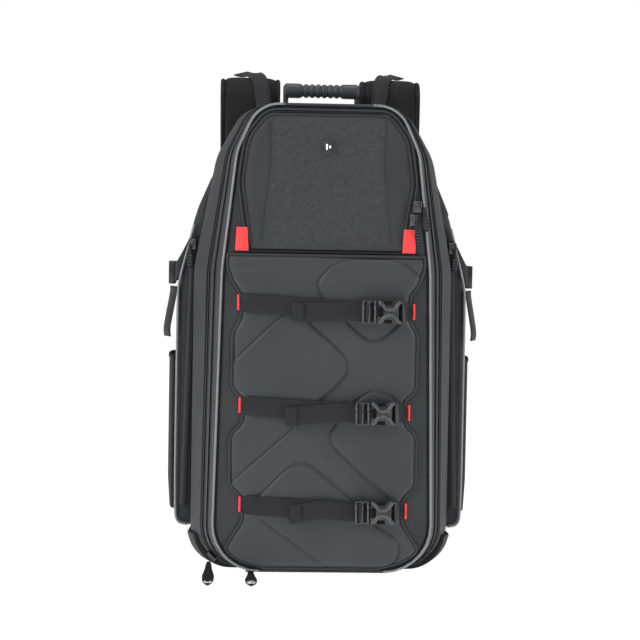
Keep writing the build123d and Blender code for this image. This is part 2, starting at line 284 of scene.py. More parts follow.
def tube(name: str, path: Sequence[Vector], width: float, height: float | None = None, closed: bool = False,
         sides: int = 10, up: Vector | None = None) -> bpy.types.Object:
    """Round or flattened tube along a path, with U along its length in millimetres.

    Args:
        name: Object's name.
        path: Middle line in millimetres.
        width: Diameter across the up direction.
        height: Diameter along the up direction, the same as width when left out.
        closed: Whether the path closes on itself.
        sides: Points round the tube.
        up: Direction that height is measured along.
    """
    height = height or width
    up = up or FORWARD
    count = len(path)
    points, uvs, faces, travelled = [], [], [], 0.0
    for index, here in enumerate(path):
        before = path[index - 1] if closed or index else here
        after = path[(index + 1) % count] if closed or index < count - 1 else here
        along = (after - before).normalized()
        across = along.cross(up).normalized()
        lift = across.cross(along).normalized()
        travelled += (here - path[index - 1]).length if index else 0.0
        for step in range(sides):
            angle = 2 * math.pi * step / sides
            points.append(here + across * math.cos(angle) * width / 2 + lift * math.sin(angle) * height / 2)
            uvs.append((travelled, step / sides))
    for row in range(count if closed else count - 1):
        for step in range(sides):
            ahead, side = (row + 1) % count, (step + 1) % sides
            faces.append((row * sides + step, row * sides + side, ahead * sides + side, ahead * sides + step))
    if not closed:
        for row, middle in ((0, path[0]), (count - 1, path[-1])):
            points.append(middle)
            uvs.append((0.0, 0.0))
            for step in range(sides):
                faces.append((row * sides + step, row * sides + (step + 1) % sides, len(points) - 1))
    return make_mesh(name, points, faces, uvs)


def ribbon(name: str, path: Sequence[Vector], width: float, thickness: float, across: Vector | None = None,
           spacing: float = 2.0) -> bpy.types.Object:
    """Flat webbing along a path, with rounded edges, U along it and V across it in millimetres.

    Args:
        name: Object's name.
        path: Middle line in millimetres.
        width: Width of the webbing.
        thickness: Thickness of the webbing.
        across: Direction of its width, +Z when left out.
        spacing: Distance between cross-sections.
    """
    across = (across or Z_AXIS).normalized()
    line = line_through(path, spacing)
    half, edge = width / 2, thickness / 2
    section = [(-half, 0), (-half + edge, edge), (0, edge * 1.1), (half - edge, edge), (half, 0),
               (half - edge, -edge), (0, -edge), (-half + edge, -edge)]
    points, uvs, faces, travelled = [], [], [], 0.0
    size = len(section)
    for index, here in enumerate(line):
        along = (line[min(index + 1, len(line) - 1)] - line[max(index - 1, 0)]).normalized()
        normal = along.cross(across).normalized()
        travelled += (here - line[index - 1]).length if index else 0.0
        for offset, lift in section:
            points.append(here + across * offset + normal * lift)
            uvs.append((travelled, offset))
    for row in range(len(line) - 1):
        for step in range(size):
            a, b = row * size + step, row * size + (step + 1) % size
            faces.append((a, b, b + size, a + size))
    faces.append(tuple(range(size)))
    faces.append(tuple(range((len(line) - 1) * size, len(line) * size)))
    return make_mesh(name, points, faces, uvs)


def drop(name: str, top: Vector, tip: Vector, size: tuple[float, float], up: Vector) -> bpy.types.Object:
    """Zip pull shaped like a drop: a narrow neck, a wide body and a rounded tip.

    Args:
        name: Object's name.
        top: Middle of its upper end in millimetres.
        tip: Middle of its lower end in millimetres.
        size: Greatest width, and depth along `up`.
        up: Direction of its face.

    Returns:
        The mesh object.
    """
    shares, widths = [0.0, 0.12, 0.3, 0.62, 0.86, 0.96, 1.0], [0.36, 0.5, 0.6, 1.0, 0.92, 0.62, 0.3]
    axis = tip - top
    across = axis.cross(up).normalized()
    obj = tube(name, line_through([top, tip], 0.8), size[0], size[1], sides=16, up=up)
    for vertex in obj.data.vertices:
        place = vertex.co / MM - top
        share = place.dot(axis) / axis.length_squared
        reach = place.dot(across)
        vertex.co += across * reach * (np.interp(share, shares, widths) - 1.0) * MM
    return obj


def joined(name: str, parts: Sequence[bpy.types.Object]) -> bpy.types.Object:
    """One object from several, which are removed."""
    work = bmesh.new()
    for part in parts:
        work.from_mesh(part.data)
        bpy.data.objects.remove(part)
    mesh = bpy.data.meshes.new(name)
    work.to_mesh(mesh)
    work.free()
    obj = bpy.data.objects.new(name, mesh)
    bpy.context.collection.objects.link(obj)
    return obj


def mirrored(obj: bpy.types.Object, name: str) -> bpy.types.Object:
    """Copy of an object on the other side of the pack."""
    mesh = obj.data.copy()
    mesh.name = name
    mesh.transform(Matrix.Scale(-1, 4, X_AXIS))
    mesh.flip_normals()
    copy = bpy.data.objects.new(name, mesh)
    bpy.context.collection.objects.link(copy)
    return copy


def polished(node: str, bevel: float, segments: int = 3) -> bpy.types.Object:
    """Copy of a CAD node with its sharp edges rounded.

    Args:
        node: Name of the CAD node.
        bevel: Width of the rounding in millimetres.
        segments: Steps in the rounding.
    """
    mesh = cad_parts[node].data.copy()
    work = bmesh.new()
    work.from_mesh(mesh)
    work.transform(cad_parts[node].matrix_world)
    bmesh.ops.remove_doubles(work, verts=work.verts, dist=1e-5)
    bmesh.ops.dissolve_limit(work, angle_limit=math.radians(4), verts=work.verts, edges=work.edges)
    sharp = [edge for edge in work.edges
             if len(edge.link_faces) == 2 and edge.calc_face_angle(0.0) > math.radians(35)]
    bmesh.ops.bevel(work, geom=sharp, offset=bevel * MM, segments=segments, affect="EDGES", profile=0.5,
                    clamp_overlap=True)
    work.to_mesh(mesh)
    work.free()
    mesh.name = f"{node}_shaped"
    mesh.materials.clear()
    mesh.polygons.foreach_set("use_smooth", [True] * len(mesh.polygons))
    if hasattr(mesh, "set_sharp_from_angle"):
        mesh.set_sharp_from_angle(angle=math.radians(32))
    obj = bpy.data.objects.new(f"{node}_shaped", mesh)
    bpy.context.collection.objects.link(obj)
    return obj


def node_box(node: str) -> tuple[Vector, Vector]:
    """Lowest and highest corners of a CAD node, in millimetres."""
    low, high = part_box(node)
    return low / MM, high / MM


# ---------------------------------------------------------------------------------------------- finishes


class Sheet:
    """Short way to add and wire nodes in one node tree."""

    def __init__(self, tree: bpy.types.NodeTree) -> None:
        """Keep the tree that nodes are added to."""
        self.tree = tree

    def node(self, kind: str, **settings: object) -> bpy.types.Node:
        """New node of this kind with some of its settings."""
        made = self.tree.nodes.new(kind)
        for key, value in settings.items():
            setattr(made, key, value)
        return made

    def wire(self, source: object, target: bpy.types.NodeSocket) -> None:
        """Link a socket to an input, or set the input when the source is a plain value."""
        if isinstance(source, bpy.types.NodeSocket):
            self.tree.links.new(source, target)
        else:
            target.default_value = source

    def math(self, operation: str, *values: object) -> bpy.types.NodeSocket:
        """Result of a math node."""
        made = self.node("ShaderNodeMath", operation=operation)
        for value, target in zip(values, made.inputs):
            self.wire(value, target)
        return made.outputs[0]

    def mix(self, share: object, first: object, second: object) -> bpy.types.NodeSocket:
        """Mix of two colours."""
        made = self.node("ShaderNodeMix", data_type="RGBA")
        for value, index in ((share, 0), (first, 6), (second, 7)):
            self.wire(value, made.inputs[index])
        return made.outputs[2]

    def noise(self, vector: object, scale: object, detail: float = 3.0) -> bpy.types.NodeSocket:
        """Value of a noise texture."""
        made = self.node("ShaderNodeTexNoise")
        self.wire(vector, made.inputs["Vector"])
        self.wire(scale, made.inputs["Scale"])
        made.inputs["Detail"].default_value = detail
        return made.outputs[0]

    def span(self, value: object, low: float, high: float, to_low: float,
             to_high: float) -> bpy.types.NodeSocket:
        """Value moved from one range to another and kept inside it."""
        made = self.node("ShaderNodeMapRange")
        for number, target in zip((value, low, high, to_low, to_high), made.inputs):
            self.wire(number, target)
        return made.outputs[0]

    def parts(self, vector: object) -> list[bpy.types.NodeSocket]:
        """X, Y and Z of a vector."""
        made = self.node("ShaderNodeSeparateXYZ")
        self.wire(vector, made.inputs[0])
        return list(made.outputs)


def effect(name: str, inputs: dict[str, float], outputs: Sequence[str],
           fill: Callable[[Sheet, dict, dict], None]) -> bpy.types.NodeTree:
    """Shared shader effect that reads a vector and some numbers.

    Args:
        name: Name of the node group.
        inputs: Number inputs with their defaults, besides the vector.
        outputs: Number outputs.
        fill: Adds the nodes between the inputs and the outputs.
    """
    known = bpy.data.node_groups.get(name)
    if known:
        return known
    tree = bpy.data.node_groups.new(name, "ShaderNodeTree")
    tree.interface.new_socket("Vector", in_out="INPUT", socket_type="NodeSocketVector")
    for label, default in inputs.items():
        socket = tree.interface.new_socket(label, in_out="INPUT", socket_type="NodeSocketFloat")
        socket.default_value = default
    for label in outputs:
        tree.interface.new_socket(label, in_out="OUTPUT", socket_type="NodeSocketFloat")
    sheet = Sheet(tree)
    entry, leave = sheet.node("NodeGroupInput"), sheet.node("NodeGroupOutput")
    given = {socket.name: socket for socket in entry.outputs}
    wanted = {socket.name: socket for socket in leave.inputs}
    fill(sheet, given, wanted)
    return tree


def fill_weave(sheet: Sheet, entry: dict, leave: dict) -> None:
    """Crossed threads on any face: a height, and how far each spot lies on a raised thread."""
    x, y, z = sheet.parts(entry["Vector"])
    turns = sheet.math("DIVIDE", 2 * math.pi, entry["Pitch"])
    along = sheet.math("MULTIPLY", sheet.math("ADD", x, y), turns)
    slope = sheet.math("MULTIPLY", sheet.math("SUBTRACT", x, y), entry["Twill"])
    across = sheet.math("MULTIPLY", sheet.math("ADD", z, slope), turns)
    crossing = sheet.math("MULTIPLY", sheet.math("SINE", along), sheet.math("SINE", across))
    fuzz = sheet.noise(entry["Vector"], sheet.math("DIVIDE", 0.7, entry["Pitch"]))
    height = sheet.math("MULTIPLY_ADD", crossing, 0.38, fuzz)
    sheet.wire(height, leave["Height"])
    sheet.wire(sheet.span(height, 0.2, 0.85, 0.0, 1.0), leave["Thread"])


def fill_mottle(sheet: Sheet, entry: dict, leave: dict) -> None:
    """Large soft patches with fine speckle over them."""
    patches = sheet.noise(entry["Vector"], entry["Scale"])
    speckle = sheet.noise(entry["Vector"], sheet.math("MULTIPLY", entry["Scale"], 22.0), 4.0)
    both = sheet.math("ADD", sheet.math("MULTIPLY", patches, 0.65), sheet.math("MULTIPLY", speckle, 0.35))
    sheet.wire(sheet.span(both, 0.3, 0.7, 0.0, 1.0), leave["Value"])


def fill_ribs(sheet: Sheet, entry: dict, leave: dict) -> None:
    """Woven ribs across webbing whose UV is in millimetres along and across it."""
    along, across, _ = sheet.parts(entry["Vector"])
    wave = sheet.math("MULTIPLY", along, sheet.math("DIVIDE", 2 * math.pi, entry["Pitch"]))
    lean = sheet.math("MULTIPLY", sheet.math("ABSOLUTE", across), entry["Chevron"])
    ribs = sheet.math("SINE", sheet.math("ADD", wave, lean))
    columns = sheet.math("SINE", sheet.math("MULTIPLY", across, 3.1))
    height = sheet.math("ADD", sheet.math("MULTIPLY", ribs, 0.35), sheet.math("MULTIPLY", columns, 0.15))
    sheet.wire(sheet.math("ADD", height, 0.5), leave["Height"])


def fill_holes(sheet: Sheet, entry: dict, leave: dict) -> None:
    """Round openings of a net: 1 in the thread, 0 in a hole."""
    x, y, z = sheet.parts(entry["Vector"])
    turns = sheet.math("DIVIDE", 2 * math.pi, entry["Pitch"])
    along = sheet.math("COSINE", sheet.math("MULTIPLY", sheet.math("ADD", x, y), turns))
    diagonal = sheet.math("ADD", z, sheet.math("SUBTRACT", x, y))
    across = sheet.math("COSINE", sheet.math("MULTIPLY", diagonal, turns))
    sheet.wire(sheet.span(sheet.math("ADD", along, across), 0.1, 0.9, 1.0, 0.0), leave["Thread"])


@dataclass(frozen=True)
class Finish:
    """Plain finish: a colour with soft mottling and a fine grain. The other finishes build on it.

    Attributes:
        name: Material's name.
        slot: Material slot of the record that it stands for; not used.
        colour: Linear base colour.
        light: Linear lighter colour, for random patches and a painted highlight on raised threads and ribs.
        roughness: Middle roughness.
        metallic: Metallic share.
        coat: Coat weight.
        sheen: Sheen weight, for fabrics.
        grain: Depth of the surface relief in millimetres.
        gloss: Specular level; cloth stays low.
    """

    name: str
    slot: str
    colour: Point3
    light: Point3
    roughness: float = 0.6
    metallic: float = 0.0
    coat: float = 0.0
    sheen: float = 0.0
    grain: float = 0.05
    gloss: float = 0.2

    def relief(self, sheet: Sheet, place: bpy.types.NodeSocket) -> tuple[object, object]:
        """Height of the surface and the share of the light colour at each spot."""
        mottle = self.shared(sheet, effect("Mottle", {"Scale": 14.0}, ["Value"], fill_mottle), place)
        return sheet.noise(place, 900.0), sheet.math("MULTIPLY", mottle["Value"], 0.5)

    def coordinates(self, sheet: Sheet) -> bpy.types.NodeSocket:
        """Where the pattern is read from."""
        return sheet.node("ShaderNodeTexCoord").outputs["Object"]

    def shared(self, sheet: Sheet, tree: bpy.types.NodeTree, place: bpy.types.NodeSocket,
               **values: float) -> bpy.types.bpy_prop_collection:
        """Outputs of a shared effect in this material."""
        group = sheet.node("ShaderNodeGroup", node_tree=tree)
        sheet.wire(place, group.inputs["Vector"])
        for label, value in values.items():
            group.inputs[label].default_value = value
        return group.outputs

    def build(self) -> bpy.types.Material:
        """The material, made once."""
        known = bpy.data.materials.get(self.name)
        if known:
            return known
        material = bpy.data.materials.new(self.name)
        material.use_nodes = True
        sheet = Sheet(material.node_tree)
        shader = material.node_tree.nodes["Principled BSDF"]
        place = self.coordinates(sheet)
        height, share = self.relief(sheet, place)
        mottle = self.shared(sheet, effect("Mottle", {"Scale": 14.0}, ["Value"], fill_mottle),
                             sheet.node("ShaderNodeTexCoord").outputs["Object"])["Value"]
        # Lighter colour over random patches, and a painted highlight on raised threads and ribs.
        sheet.wire(sheet.mix(share, (*self.colour, 1), (*self.light, 1)), shader.inputs["Base Color"])
        sheet.wire(sheet.span(mottle, 0.0, 1.0, self.roughness - 0.06, self.roughness + 0.06),
                   shader.inputs["Roughness"])
        bump = sheet.node("ShaderNodeBump")
        bump.inputs["Distance"].default_value = self.grain * MM
        sheet.wire(height, bump.inputs["Height"])
        sheet.wire(bump.outputs[0], shader.inputs["Normal"])
        shader.inputs["Metallic"].default_value = self.metallic
        shader.inputs["Specular IOR Level"].default_value = self.gloss
        shader.inputs["Coat Weight"].default_value = self.coat
        shader.inputs["Sheen Weight"].default_value = self.sheen
        shader.inputs["Sheen Roughness"].default_value = 0.5
        return material


@dataclass(frozen=True)
class Woven(Finish):
    """Fabric with crossed threads."""

    pitch: float = 1.6
    twill: float = 0.5

    def relief(self, sheet: Sheet, place: bpy.types.NodeSocket) -> tuple[object, object]:
        """Raised threads, with the lighter colour on them as a painted highlight."""
        tree = effect("Weave", {"Pitch": 0.0016, "Twill": 0.5}, ["Height", "Thread"], fill_weave)
        weave = self.shared(sheet, tree, place, Pitch=self.pitch * MM, Twill=self.twill)
        return weave["Height"], weave["Thread"]


@dataclass(frozen=True)
class Ribbed(Finish):
    """Webbing, tape or beaded piping: ribs across a UV in millimetres."""

    pitch: float = 1.8
    chevron: float = 0.0

    def coordinates(self, sheet: Sheet) -> bpy.types.NodeSocket:
        """The UV map, in millimetres along and across."""
        return sheet.node("ShaderNodeUVMap", uv_map="UVMap").outputs[0]

    def relief(self, sheet: Sheet, place: bpy.types.NodeSocket) -> tuple[object, object]:
        """Ribs, with the lighter colour on their crests as a painted highlight."""
        tree = effect("Ribs", {"Pitch": 1.8, "Chevron": 0.0}, ["Height"], fill_ribs)
        ribs = self.shared(sheet, tree, place, Pitch=self.pitch, Chevron=self.chevron)
        return ribs["Height"], ribs["Height"]


@dataclass(frozen=True)
class Net(Finish):
    """Mesh fabric: a light thread round dark holes."""

    pitch: float = 3.0

    def relief(self, sheet: Sheet, place: bpy.types.NodeSocket) -> tuple[object, object]:
        """Threads stand above the holes and take the lighter colour as a painted highlight."""
        tree = effect("Holes", {"Pitch": 0.003}, ["Thread"], fill_holes)
        thread = self.shared(sheet, tree, place, Pitch=self.pitch * MM)["Thread"]
        return thread, thread


SHELL_FABRIC = Woven("ShellFabric", "shell_fabric", (0.013, 0.0133, 0.015), (0.03, 0.031, 0.035), 0.62,
                     sheen=0.04, grain=0.16, pitch=1.5)
TWILL = Woven("TwillFabric", "shell_fabric", (0.02, 0.0205, 0.0225), (0.046, 0.047, 0.051), 0.66,
              sheen=0.05, grain=0.4, pitch=2.3)
QUILT_FABRIC = Finish("QuiltFabric", "moulded_eva", (0.03, 0.031, 0.035), (0.05, 0.051, 0.057), 0.5,
                      sheen=0.08, grain=0.06)
BORDER_FABRIC = Finish("BorderFabric", "shell_fabric", (0.022, 0.0225, 0.025), (0.04, 0.041, 0.046), 0.55,
                       sheen=0.06, grain=0.08)
BASE_FABRIC = Woven("BaseFabric", "base_fabric", (0.005, 0.005, 0.0055), (0.016, 0.016, 0.017), 0.6,
                    sheen=0.05, grain=0.25, gloss=0.12, pitch=1.4, twill=0.0)
# Near-black binding; also used as painted shade in the gap inside the quilt's welt and in the front seam.
BINDING_AND_SHADE = Woven("Binding", "base_fabric", (0.004, 0.004, 0.0045), (0.013, 0.013, 0.014), 0.6, grain=0.2,
                gloss=0.12, pitch=1.3)
LINING = Woven("Lining", "shell_fabric", (0.09, 0.092, 0.098), (0.16, 0.163, 0.17), 0.75, grain=0.15,
               pitch=1.2)
FOAM = Woven("DividerFoam", "divider_foam", (0.07, 0.073, 0.08), (0.15, 0.154, 0.16), 0.85, sheen=0.3,
             grain=0.3, pitch=1.1)
MESH = Net("MeshFabric", "mesh_fabric", (0.002, 0.002, 0.002), (0.02, 0.021, 0.023), 0.7, sheen=0.03,
           grain=0.5, gloss=0.1, pitch=3.4)
STRAP_MESH = Net("StrapMesh", "mesh_fabric", (0.004, 0.004, 0.0045), (0.014, 0.0145, 0.016), 0.7,
                 sheen=0.03, grain=0.5, gloss=0.1, pitch=4.2)
STRAP_FACE = Woven("StrapFace", "shell_fabric", (0.005, 0.005, 0.0055), (0.013, 0.013, 0.014), 0.62,
                   sheen=0.03, grain=0.3, gloss=0.1, pitch=1.8)
WEBBING = Ribbed("Webbing", "webbing", (0.007, 0.007, 0.008), (0.022, 0.0225, 0.025), 0.58, sheen=0.04,
                 grain=0.35, gloss=0.15, pitch=1.9, chevron=0.9)
WEBBING_PLAIN = Woven("WebbingPlain", "webbing", (0.005, 0.005, 0.0055), (0.014, 0.014, 0.0155), 0.6,
                      grain=0.25, gloss=0.1, pitch=1.5)
ZIP_TAPE = Ribbed("ZipTape", "zip_tape", (0.012, 0.012, 0.014), (0.04, 0.041, 0.046), 0.5, grain=0.4,
                  pitch=2.2)
PIPING = Ribbed("ReflectivePiping", "reflective_piping", (0.06, 0.062, 0.068), (0.24, 0.245, 0.26), 0.4,
                metallic=0.3, grain=0.35, gloss=0.4, pitch=2.4)
RED = Ribbed("RedFabric", "red_fabric", (0.62, 0.02, 0.022), (0.95, 0.075, 0.075), 0.55, sheen=0.1,
             grain=0.25, pitch=1.4)
BUCKLE = Finish("BucklePlastic", "buckle_plastic", (0.008, 0.008, 0.0095), (0.016, 0.0165, 0.019), 0.33,
                coat=0.15, grain=0.03, gloss=0.4)
# Lighter copy of the buckle plastic: a painted highlight on raised buckle arms, ladder bars and pull grips.
BUCKLE_HIGHLIGHT = Finish("BuckleRim", "buckle_plastic", (0.026, 0.027, 0.03), (0.045, 0.046, 0.05), 0.34,
                    coat=0.2, grain=0.03, gloss=0.5)
FRAME_PLASTIC = Finish("FramePlastic", "frame_plastic", (0.05, 0.05, 0.055), (0.08, 0.08, 0.085), 0.5)
STEEL = Finish("PullSteel", "slider_metal", (0.55, 0.555, 0.57), (0.75, 0.755, 0.77), 0.28, metallic=0.6,
               grain=0.02, gloss=0.6)
METAL = Finish("SliderMetal", "slider_metal", (0.05, 0.05, 0.055), (0.14, 0.14, 0.15), 0.3, metallic=0.9,
               grain=0.02)
RUBBER = Finish("PullRubber", "pull_rubber", (0.009, 0.009, 0.01), (0.02, 0.02, 0.022), 0.42, grain=0.05)
HANDLE_RUBBER = Finish("HandleRubber", "pull_rubber", (0.035, 0.036, 0.04), (0.06, 0.061, 0.067), 0.42,
                       grain=0.06)
BADGE = Finish("BadgePlastic", "badge_plastic", (0.02, 0.0205, 0.023), (0.035, 0.036, 0.04), 0.35, coat=0.2)
BADGE_MARK = Finish("BadgeMark", "badge_plastic", (0.75, 0.76, 0.78), (0.85, 0.86, 0.88), 0.4)
THREAD = Finish("Thread", "shell_fabric", (0.03, 0.031, 0.034), (0.05, 0.051, 0.056), 0.6)
TEETH = Finish("ZipTeeth", "zip_tape", (0.012, 0.012, 0.014), (0.03, 0.03, 0.034), 0.35, coat=0.2)
# Near-black finish for holes and openings: painted shade inside them.
HOLE_SHADE = Finish("Perforation", "mesh_fabric", (0.001, 0.001, 0.001), (0.002, 0.002, 0.002), 0.9)


def dress(obj: bpy.types.Object, finish: Finish, body: str | None, *nodes: str) -> bpy.types.Object:
    """Give a piece its finish, its body and the CAD nodes that it stands for.

    Args:
        obj: The piece, already in place.
        finish: Its finish.
        body: Body it rides on, or None for a piece that rides on no body.
        nodes: CAD nodes that it replaces.
    """
    obj.data.materials.clear()
    obj.data.materials.append(finish.build())
    if body:
        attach(obj, body)
    if nodes:
        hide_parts(*nodes)
    LOG.info("%s rides on %s", obj.name, body.value if isinstance(body, Body) else body or "two bodies")
    return obj


# ---------------------------------------------------------------------------- repeated details


@dataclass(frozen=True)
class Row:
    """Small pieces repeated along lines, such as zip teeth or stitches.

    Attributes:
        name: Name of the node group.
        spacing: Distance between pieces.
        size: Length, width and height of one piece.
        stagger: How far every other piece moves to one side and the rest to the other.
        round: Whether a piece is rounded rather than square.
    """

    name: str
    spacing: float
    size: Point3
    stagger: float = 0.0
    round: bool = False

    def tree(self) -> bpy.types.NodeTree:
        """Geometry node group that sets the pieces out."""
        known = bpy.data.node_groups.get(self.name)
        if known:
            return known
        tree = bpy.data.node_groups.new(self.name, "GeometryNodeTree")
        face = tree.interface
        face.new_socket("Geometry", in_out="INPUT", socket_type="NodeSocketGeometry")
        for label, kind in (("Spacing", "Float"), ("Stagger", "Float"), ("Size", "Vector"), ("Up", "Vector"),
                            ("Seed", "Int"), ("Material", "Material")):
            face.new_socket(label, in_out="INPUT", socket_type=f"NodeSocket{kind}")
        face.new_socket("Geometry", in_out="OUTPUT", socket_type="NodeSocketGeometry")
        sheet = Sheet(tree)
        entry = sheet.node("NodeGroupInput").outputs
        curve = sheet.node("GeometryNodeMeshToCurve")
        sheet.wire(entry["Geometry"], curve.inputs[0])
        points = sheet.node("GeometryNodeResampleCurve", mode="LENGTH")
        sheet.wire(curve.outputs[0], points.inputs["Curve"])
        sheet.wire(entry["Spacing"], points.inputs["Length"])
        if self.round:
            piece = sheet.node("GeometryNodeMeshIcoSphere")
            piece.inputs["Radius"].default_value = 0.5
            piece.inputs["Subdivisions"].default_value = 2
        else:
            piece = sheet.node("GeometryNodeMeshCube")
            piece.inputs["Size"].default_value = (1, 1, 1)
        tangent = sheet.node("GeometryNodeInputTangent")
        along = sheet.node("FunctionNodeAlignRotationToVector", axis="X")
        sheet.wire(tangent.outputs[0], along.inputs["Vector"])
        upright = sheet.node("FunctionNodeAlignRotationToVector", axis="Z", pivot_axis="X")
        sheet.wire(along.outputs[0], upright.inputs["Rotation"])
        sheet.wire(entry["Up"], upright.inputs["Vector"])
        placed = sheet.node("GeometryNodeInstanceOnPoints")
        sheet.wire(points.outputs[0], placed.inputs["Points"])
        sheet.wire(piece.outputs["Mesh"], placed.inputs["Instance"])
        sheet.wire(upright.outputs[0], placed.inputs["Rotation"])
        varied = sheet.node("FunctionNodeRandomValue", data_type="FLOAT")
        varied.inputs[2].default_value = 0.94
        varied.inputs[3].default_value = 1.04
        sheet.wire(entry["Seed"], varied.inputs["Seed"])
        scaled = sheet.node("ShaderNodeVectorMath", operation="SCALE")
        sheet.wire(entry["Size"], scaled.inputs[0])
        sheet.wire(varied.outputs[1], scaled.inputs["Scale"])
        sheet.wire(scaled.outputs[0], placed.inputs["Scale"])
        parity = sheet.math("MODULO", sheet.node("GeometryNodeInputIndex").outputs[0], 2.0)
        sideways = sheet.math("MULTIPLY", sheet.math("MULTIPLY_ADD", parity, 2.0, -1.0), entry["Stagger"])
        shift = sheet.node("ShaderNodeCombineXYZ")
        sheet.wire(sideways, shift.inputs[1])
        moved = sheet.node("GeometryNodeTranslateInstances")
        sheet.wire(placed.outputs[0], moved.inputs["Instances"])
        sheet.wire(shift.outputs[0], moved.inputs["Translation"])
        real = sheet.node("GeometryNodeRealizeInstances")
        sheet.wire(moved.outputs[0], real.inputs[0])
        painted = sheet.node("GeometryNodeSetMaterial")
        sheet.wire(real.outputs[0], painted.inputs["Geometry"])
        sheet.wire(entry["Material"], painted.inputs["Material"])
        sheet.wire(painted.outputs[0], sheet.node("NodeGroupOutput").inputs[0])
        return tree

    def along(self, name: str, lines: Sequence[Sequence[Vector]], finish: Finish, body: str,
              up: Vector | None = None) -> bpy.types.Object:
        """Plain mesh of the pieces set out along these lines, dressed and riding on a body.

        Args:
            name: Object's name.
            lines: Lines in millimetres.
            finish: Finish of the pieces.
            body: Body they ride on.
            up: Direction that each piece's height faces.
        """
        points, edges = [], []
        for line in lines:
            first = len(points)
            points += [Vector(point) * MM for point in line]
            edges += [(first + step, first + step + 1) for step in range(len(line) - 1)]
        guide_mesh = bpy.data.meshes.new(f"{name}_guide")
        guide_mesh.from_pydata(points, edges, [])
        guide = bpy.data.objects.new(f"{name}_guide", guide_mesh)
        bpy.context.collection.objects.link(guide)
        modifier = guide.modifiers.new("Row", "NODES")
        modifier.node_group = self.tree()
        values = {"Spacing": self.spacing * MM, "Stagger": self.stagger * MM, "Seed": 7,
                  "Size": [value * MM for value in self.size], "Up": list(up or FORWARD),
                  "Material": finish.build()}
        for item in modifier.node_group.interface.items_tree:
            if item.item_type == "SOCKET" and item.in_out == "INPUT" and item.name in values:
                modifier[item.identifier] = values[item.name]
        bpy.context.view_layer.update()
        evaluated = guide.evaluated_get(bpy.context.evaluated_depsgraph_get())
        mesh = bpy.data.meshes.new_from_object(evaluated)
        mesh.name = name
        bpy.data.objects.remove(guide)
        obj = bpy.data.objects.new(name, mesh)
        bpy.context.collection.objects.link(obj)
        mesh.polygons.foreach_set("use_smooth", [self.round] * len(mesh.polygons))
        return dress(obj, finish, body)


STITCHES = Row("Stitches", 3.6, (2.5, 0.7, 0.5), round=True)
FINE_STITCHES = Row("FineStitches", 2.6, (1.8, 0.6, 0.45), round=True)
ZIP_TEETH = Row("ZipTeethRow", 1.5, (0.95, 2.0, 1.3), stagger=0.55)
PERFORATIONS = Row("PerforationRow", 7.0, (3.0, 3.0, 0.6), round=True)
PULL_GRIPS = Row("PullGrips", 2.6, (1.1, 4.4, 0.9))


# ---------------------------------------------------------------------------------------------- main body


@dataclass
class MainBody:
    """Main compartment with its base, dividers and frame sheet."""

    wall: float = 5.0
    back_radius: float = 14.0

    def skin(self) -> None:
        """Padded shell from the main zip to the back, outside and inside."""
        rings = [body_ring(SEAM_Y + 0.2, -2.5), body_ring(SEAM_Y, -0.8), body_ring(SEAM_Y + 0.6, 0.0)]
        rings += [body_ring(y) for y in np.linspace(SEAM_Y + 6, BACK_Y - self.back_radius, 10)]
        for step in range(1, 7):
            angle = math.pi / 2 * step / 6
            rings.append(body_ring(BACK_Y - self.back_radius * (1 - math.sin(angle)),
                                   -self.back_radius * (1 - math.cos(angle))))
        rings.append(body_ring(BACK_Y, -60))
        outside = loft("pack_outside", rings, close_end=True)
        dress(outside, SHELL_FABRIC, Body.PACK, "main_shell")
        inner = [body_ring(SEAM_Y + 0.2, -2.5), body_ring(SEAM_Y + 1.5, -self.wall)]
        inner += [body_ring(y, -self.wall) for y in (WIDEST_Y, 30, BACK_Y - self.wall - 8)]
        inner.append(body_ring(BACK_Y - self.wall - 2, -self.wall - 2))
        inner.append(body_ring(BACK_Y - self.wall, -self.wall - 9))
        dress(loft("pack_lining", inner, close_end=True), LINING, Body.PACK)

    def main_zip(self) -> None:
        """Ribbed tapes on both sides of the seam, the lid's one open at its hinge, and the teeth."""
        for offset, body in ((2.6, Body.PACK), (-3.0, Body.LID)):
            ring, whole = body_ring(SEAM_Y + offset, 0.7), body is Body.PACK
            path = [Vector(point) for point in (ring if whole else above(ring, 8.0))]
            tape = tube(f"main_zip_tape_{body.value}", path, 1.4, 5.0, closed=whole, sides=8)
            dress(tape, ZIP_TAPE, body, *(["main_zip_chain"] if body is Body.PACK else []))
        line = [Vector(point) for point in above(body_ring(SEAM_Y - 0.2, 1.2), 16.0)]
        ZIP_TEETH.along("main_zip_teeth", [line], TEETH, Body.PACK, up=Z_AXIS)

    def base(self) -> None:
        """Reinforced base with a stitched upper edge."""
        dress(polished("base_boot", 1.4), BASE_FABRIC, Body.PACK, "base_boot")
        lines = [[Vector((sign * 144.4, depth, WING_BOTTOM - 5)) for depth in (-40, 0, 40)]
                 for sign in (-1, 1)]
        STITCHES.along("base_stitches", lines, THREAD, Body.PACK, up=X_AXIS)

    def inside(self) -> None:
        """Dividers bound with tape, and the plastic frame sheet."""
        for node in ("long_dividers", "cross_dividers"):
            dress(polished(node, 1.6), FOAM, Body.PACK, node)
        dress(polished("frame_sheet", 0.6), FRAME_PLASTIC, Body.PACK, "frame_sheet")
        for name, x in (("divider_binding_left", -45.0), ("divider_binding_right", 45.0)):
            path = [Vector((x, -60.2, 16)), Vector((x, -60.2, 329))]
            dress(tube(name, line_through(path, 12), 6.8, 2.4), BINDING_AND_SHADE, Body.PACK)
        path = line_through([(-119, -60.2, 334), (119, -60.2, 334)], 12)
        dress(tube("divider_binding_top", path, 6.8, 2.4), BINDING_AND_SHADE, Body.PACK)

    def build(self) -> None:
        """Make every piece of the main body."""
        self.skin()
        self.main_zip()
        self.base()
        self.inside()


# ---------------------------------------------------------------------------------------------- lid


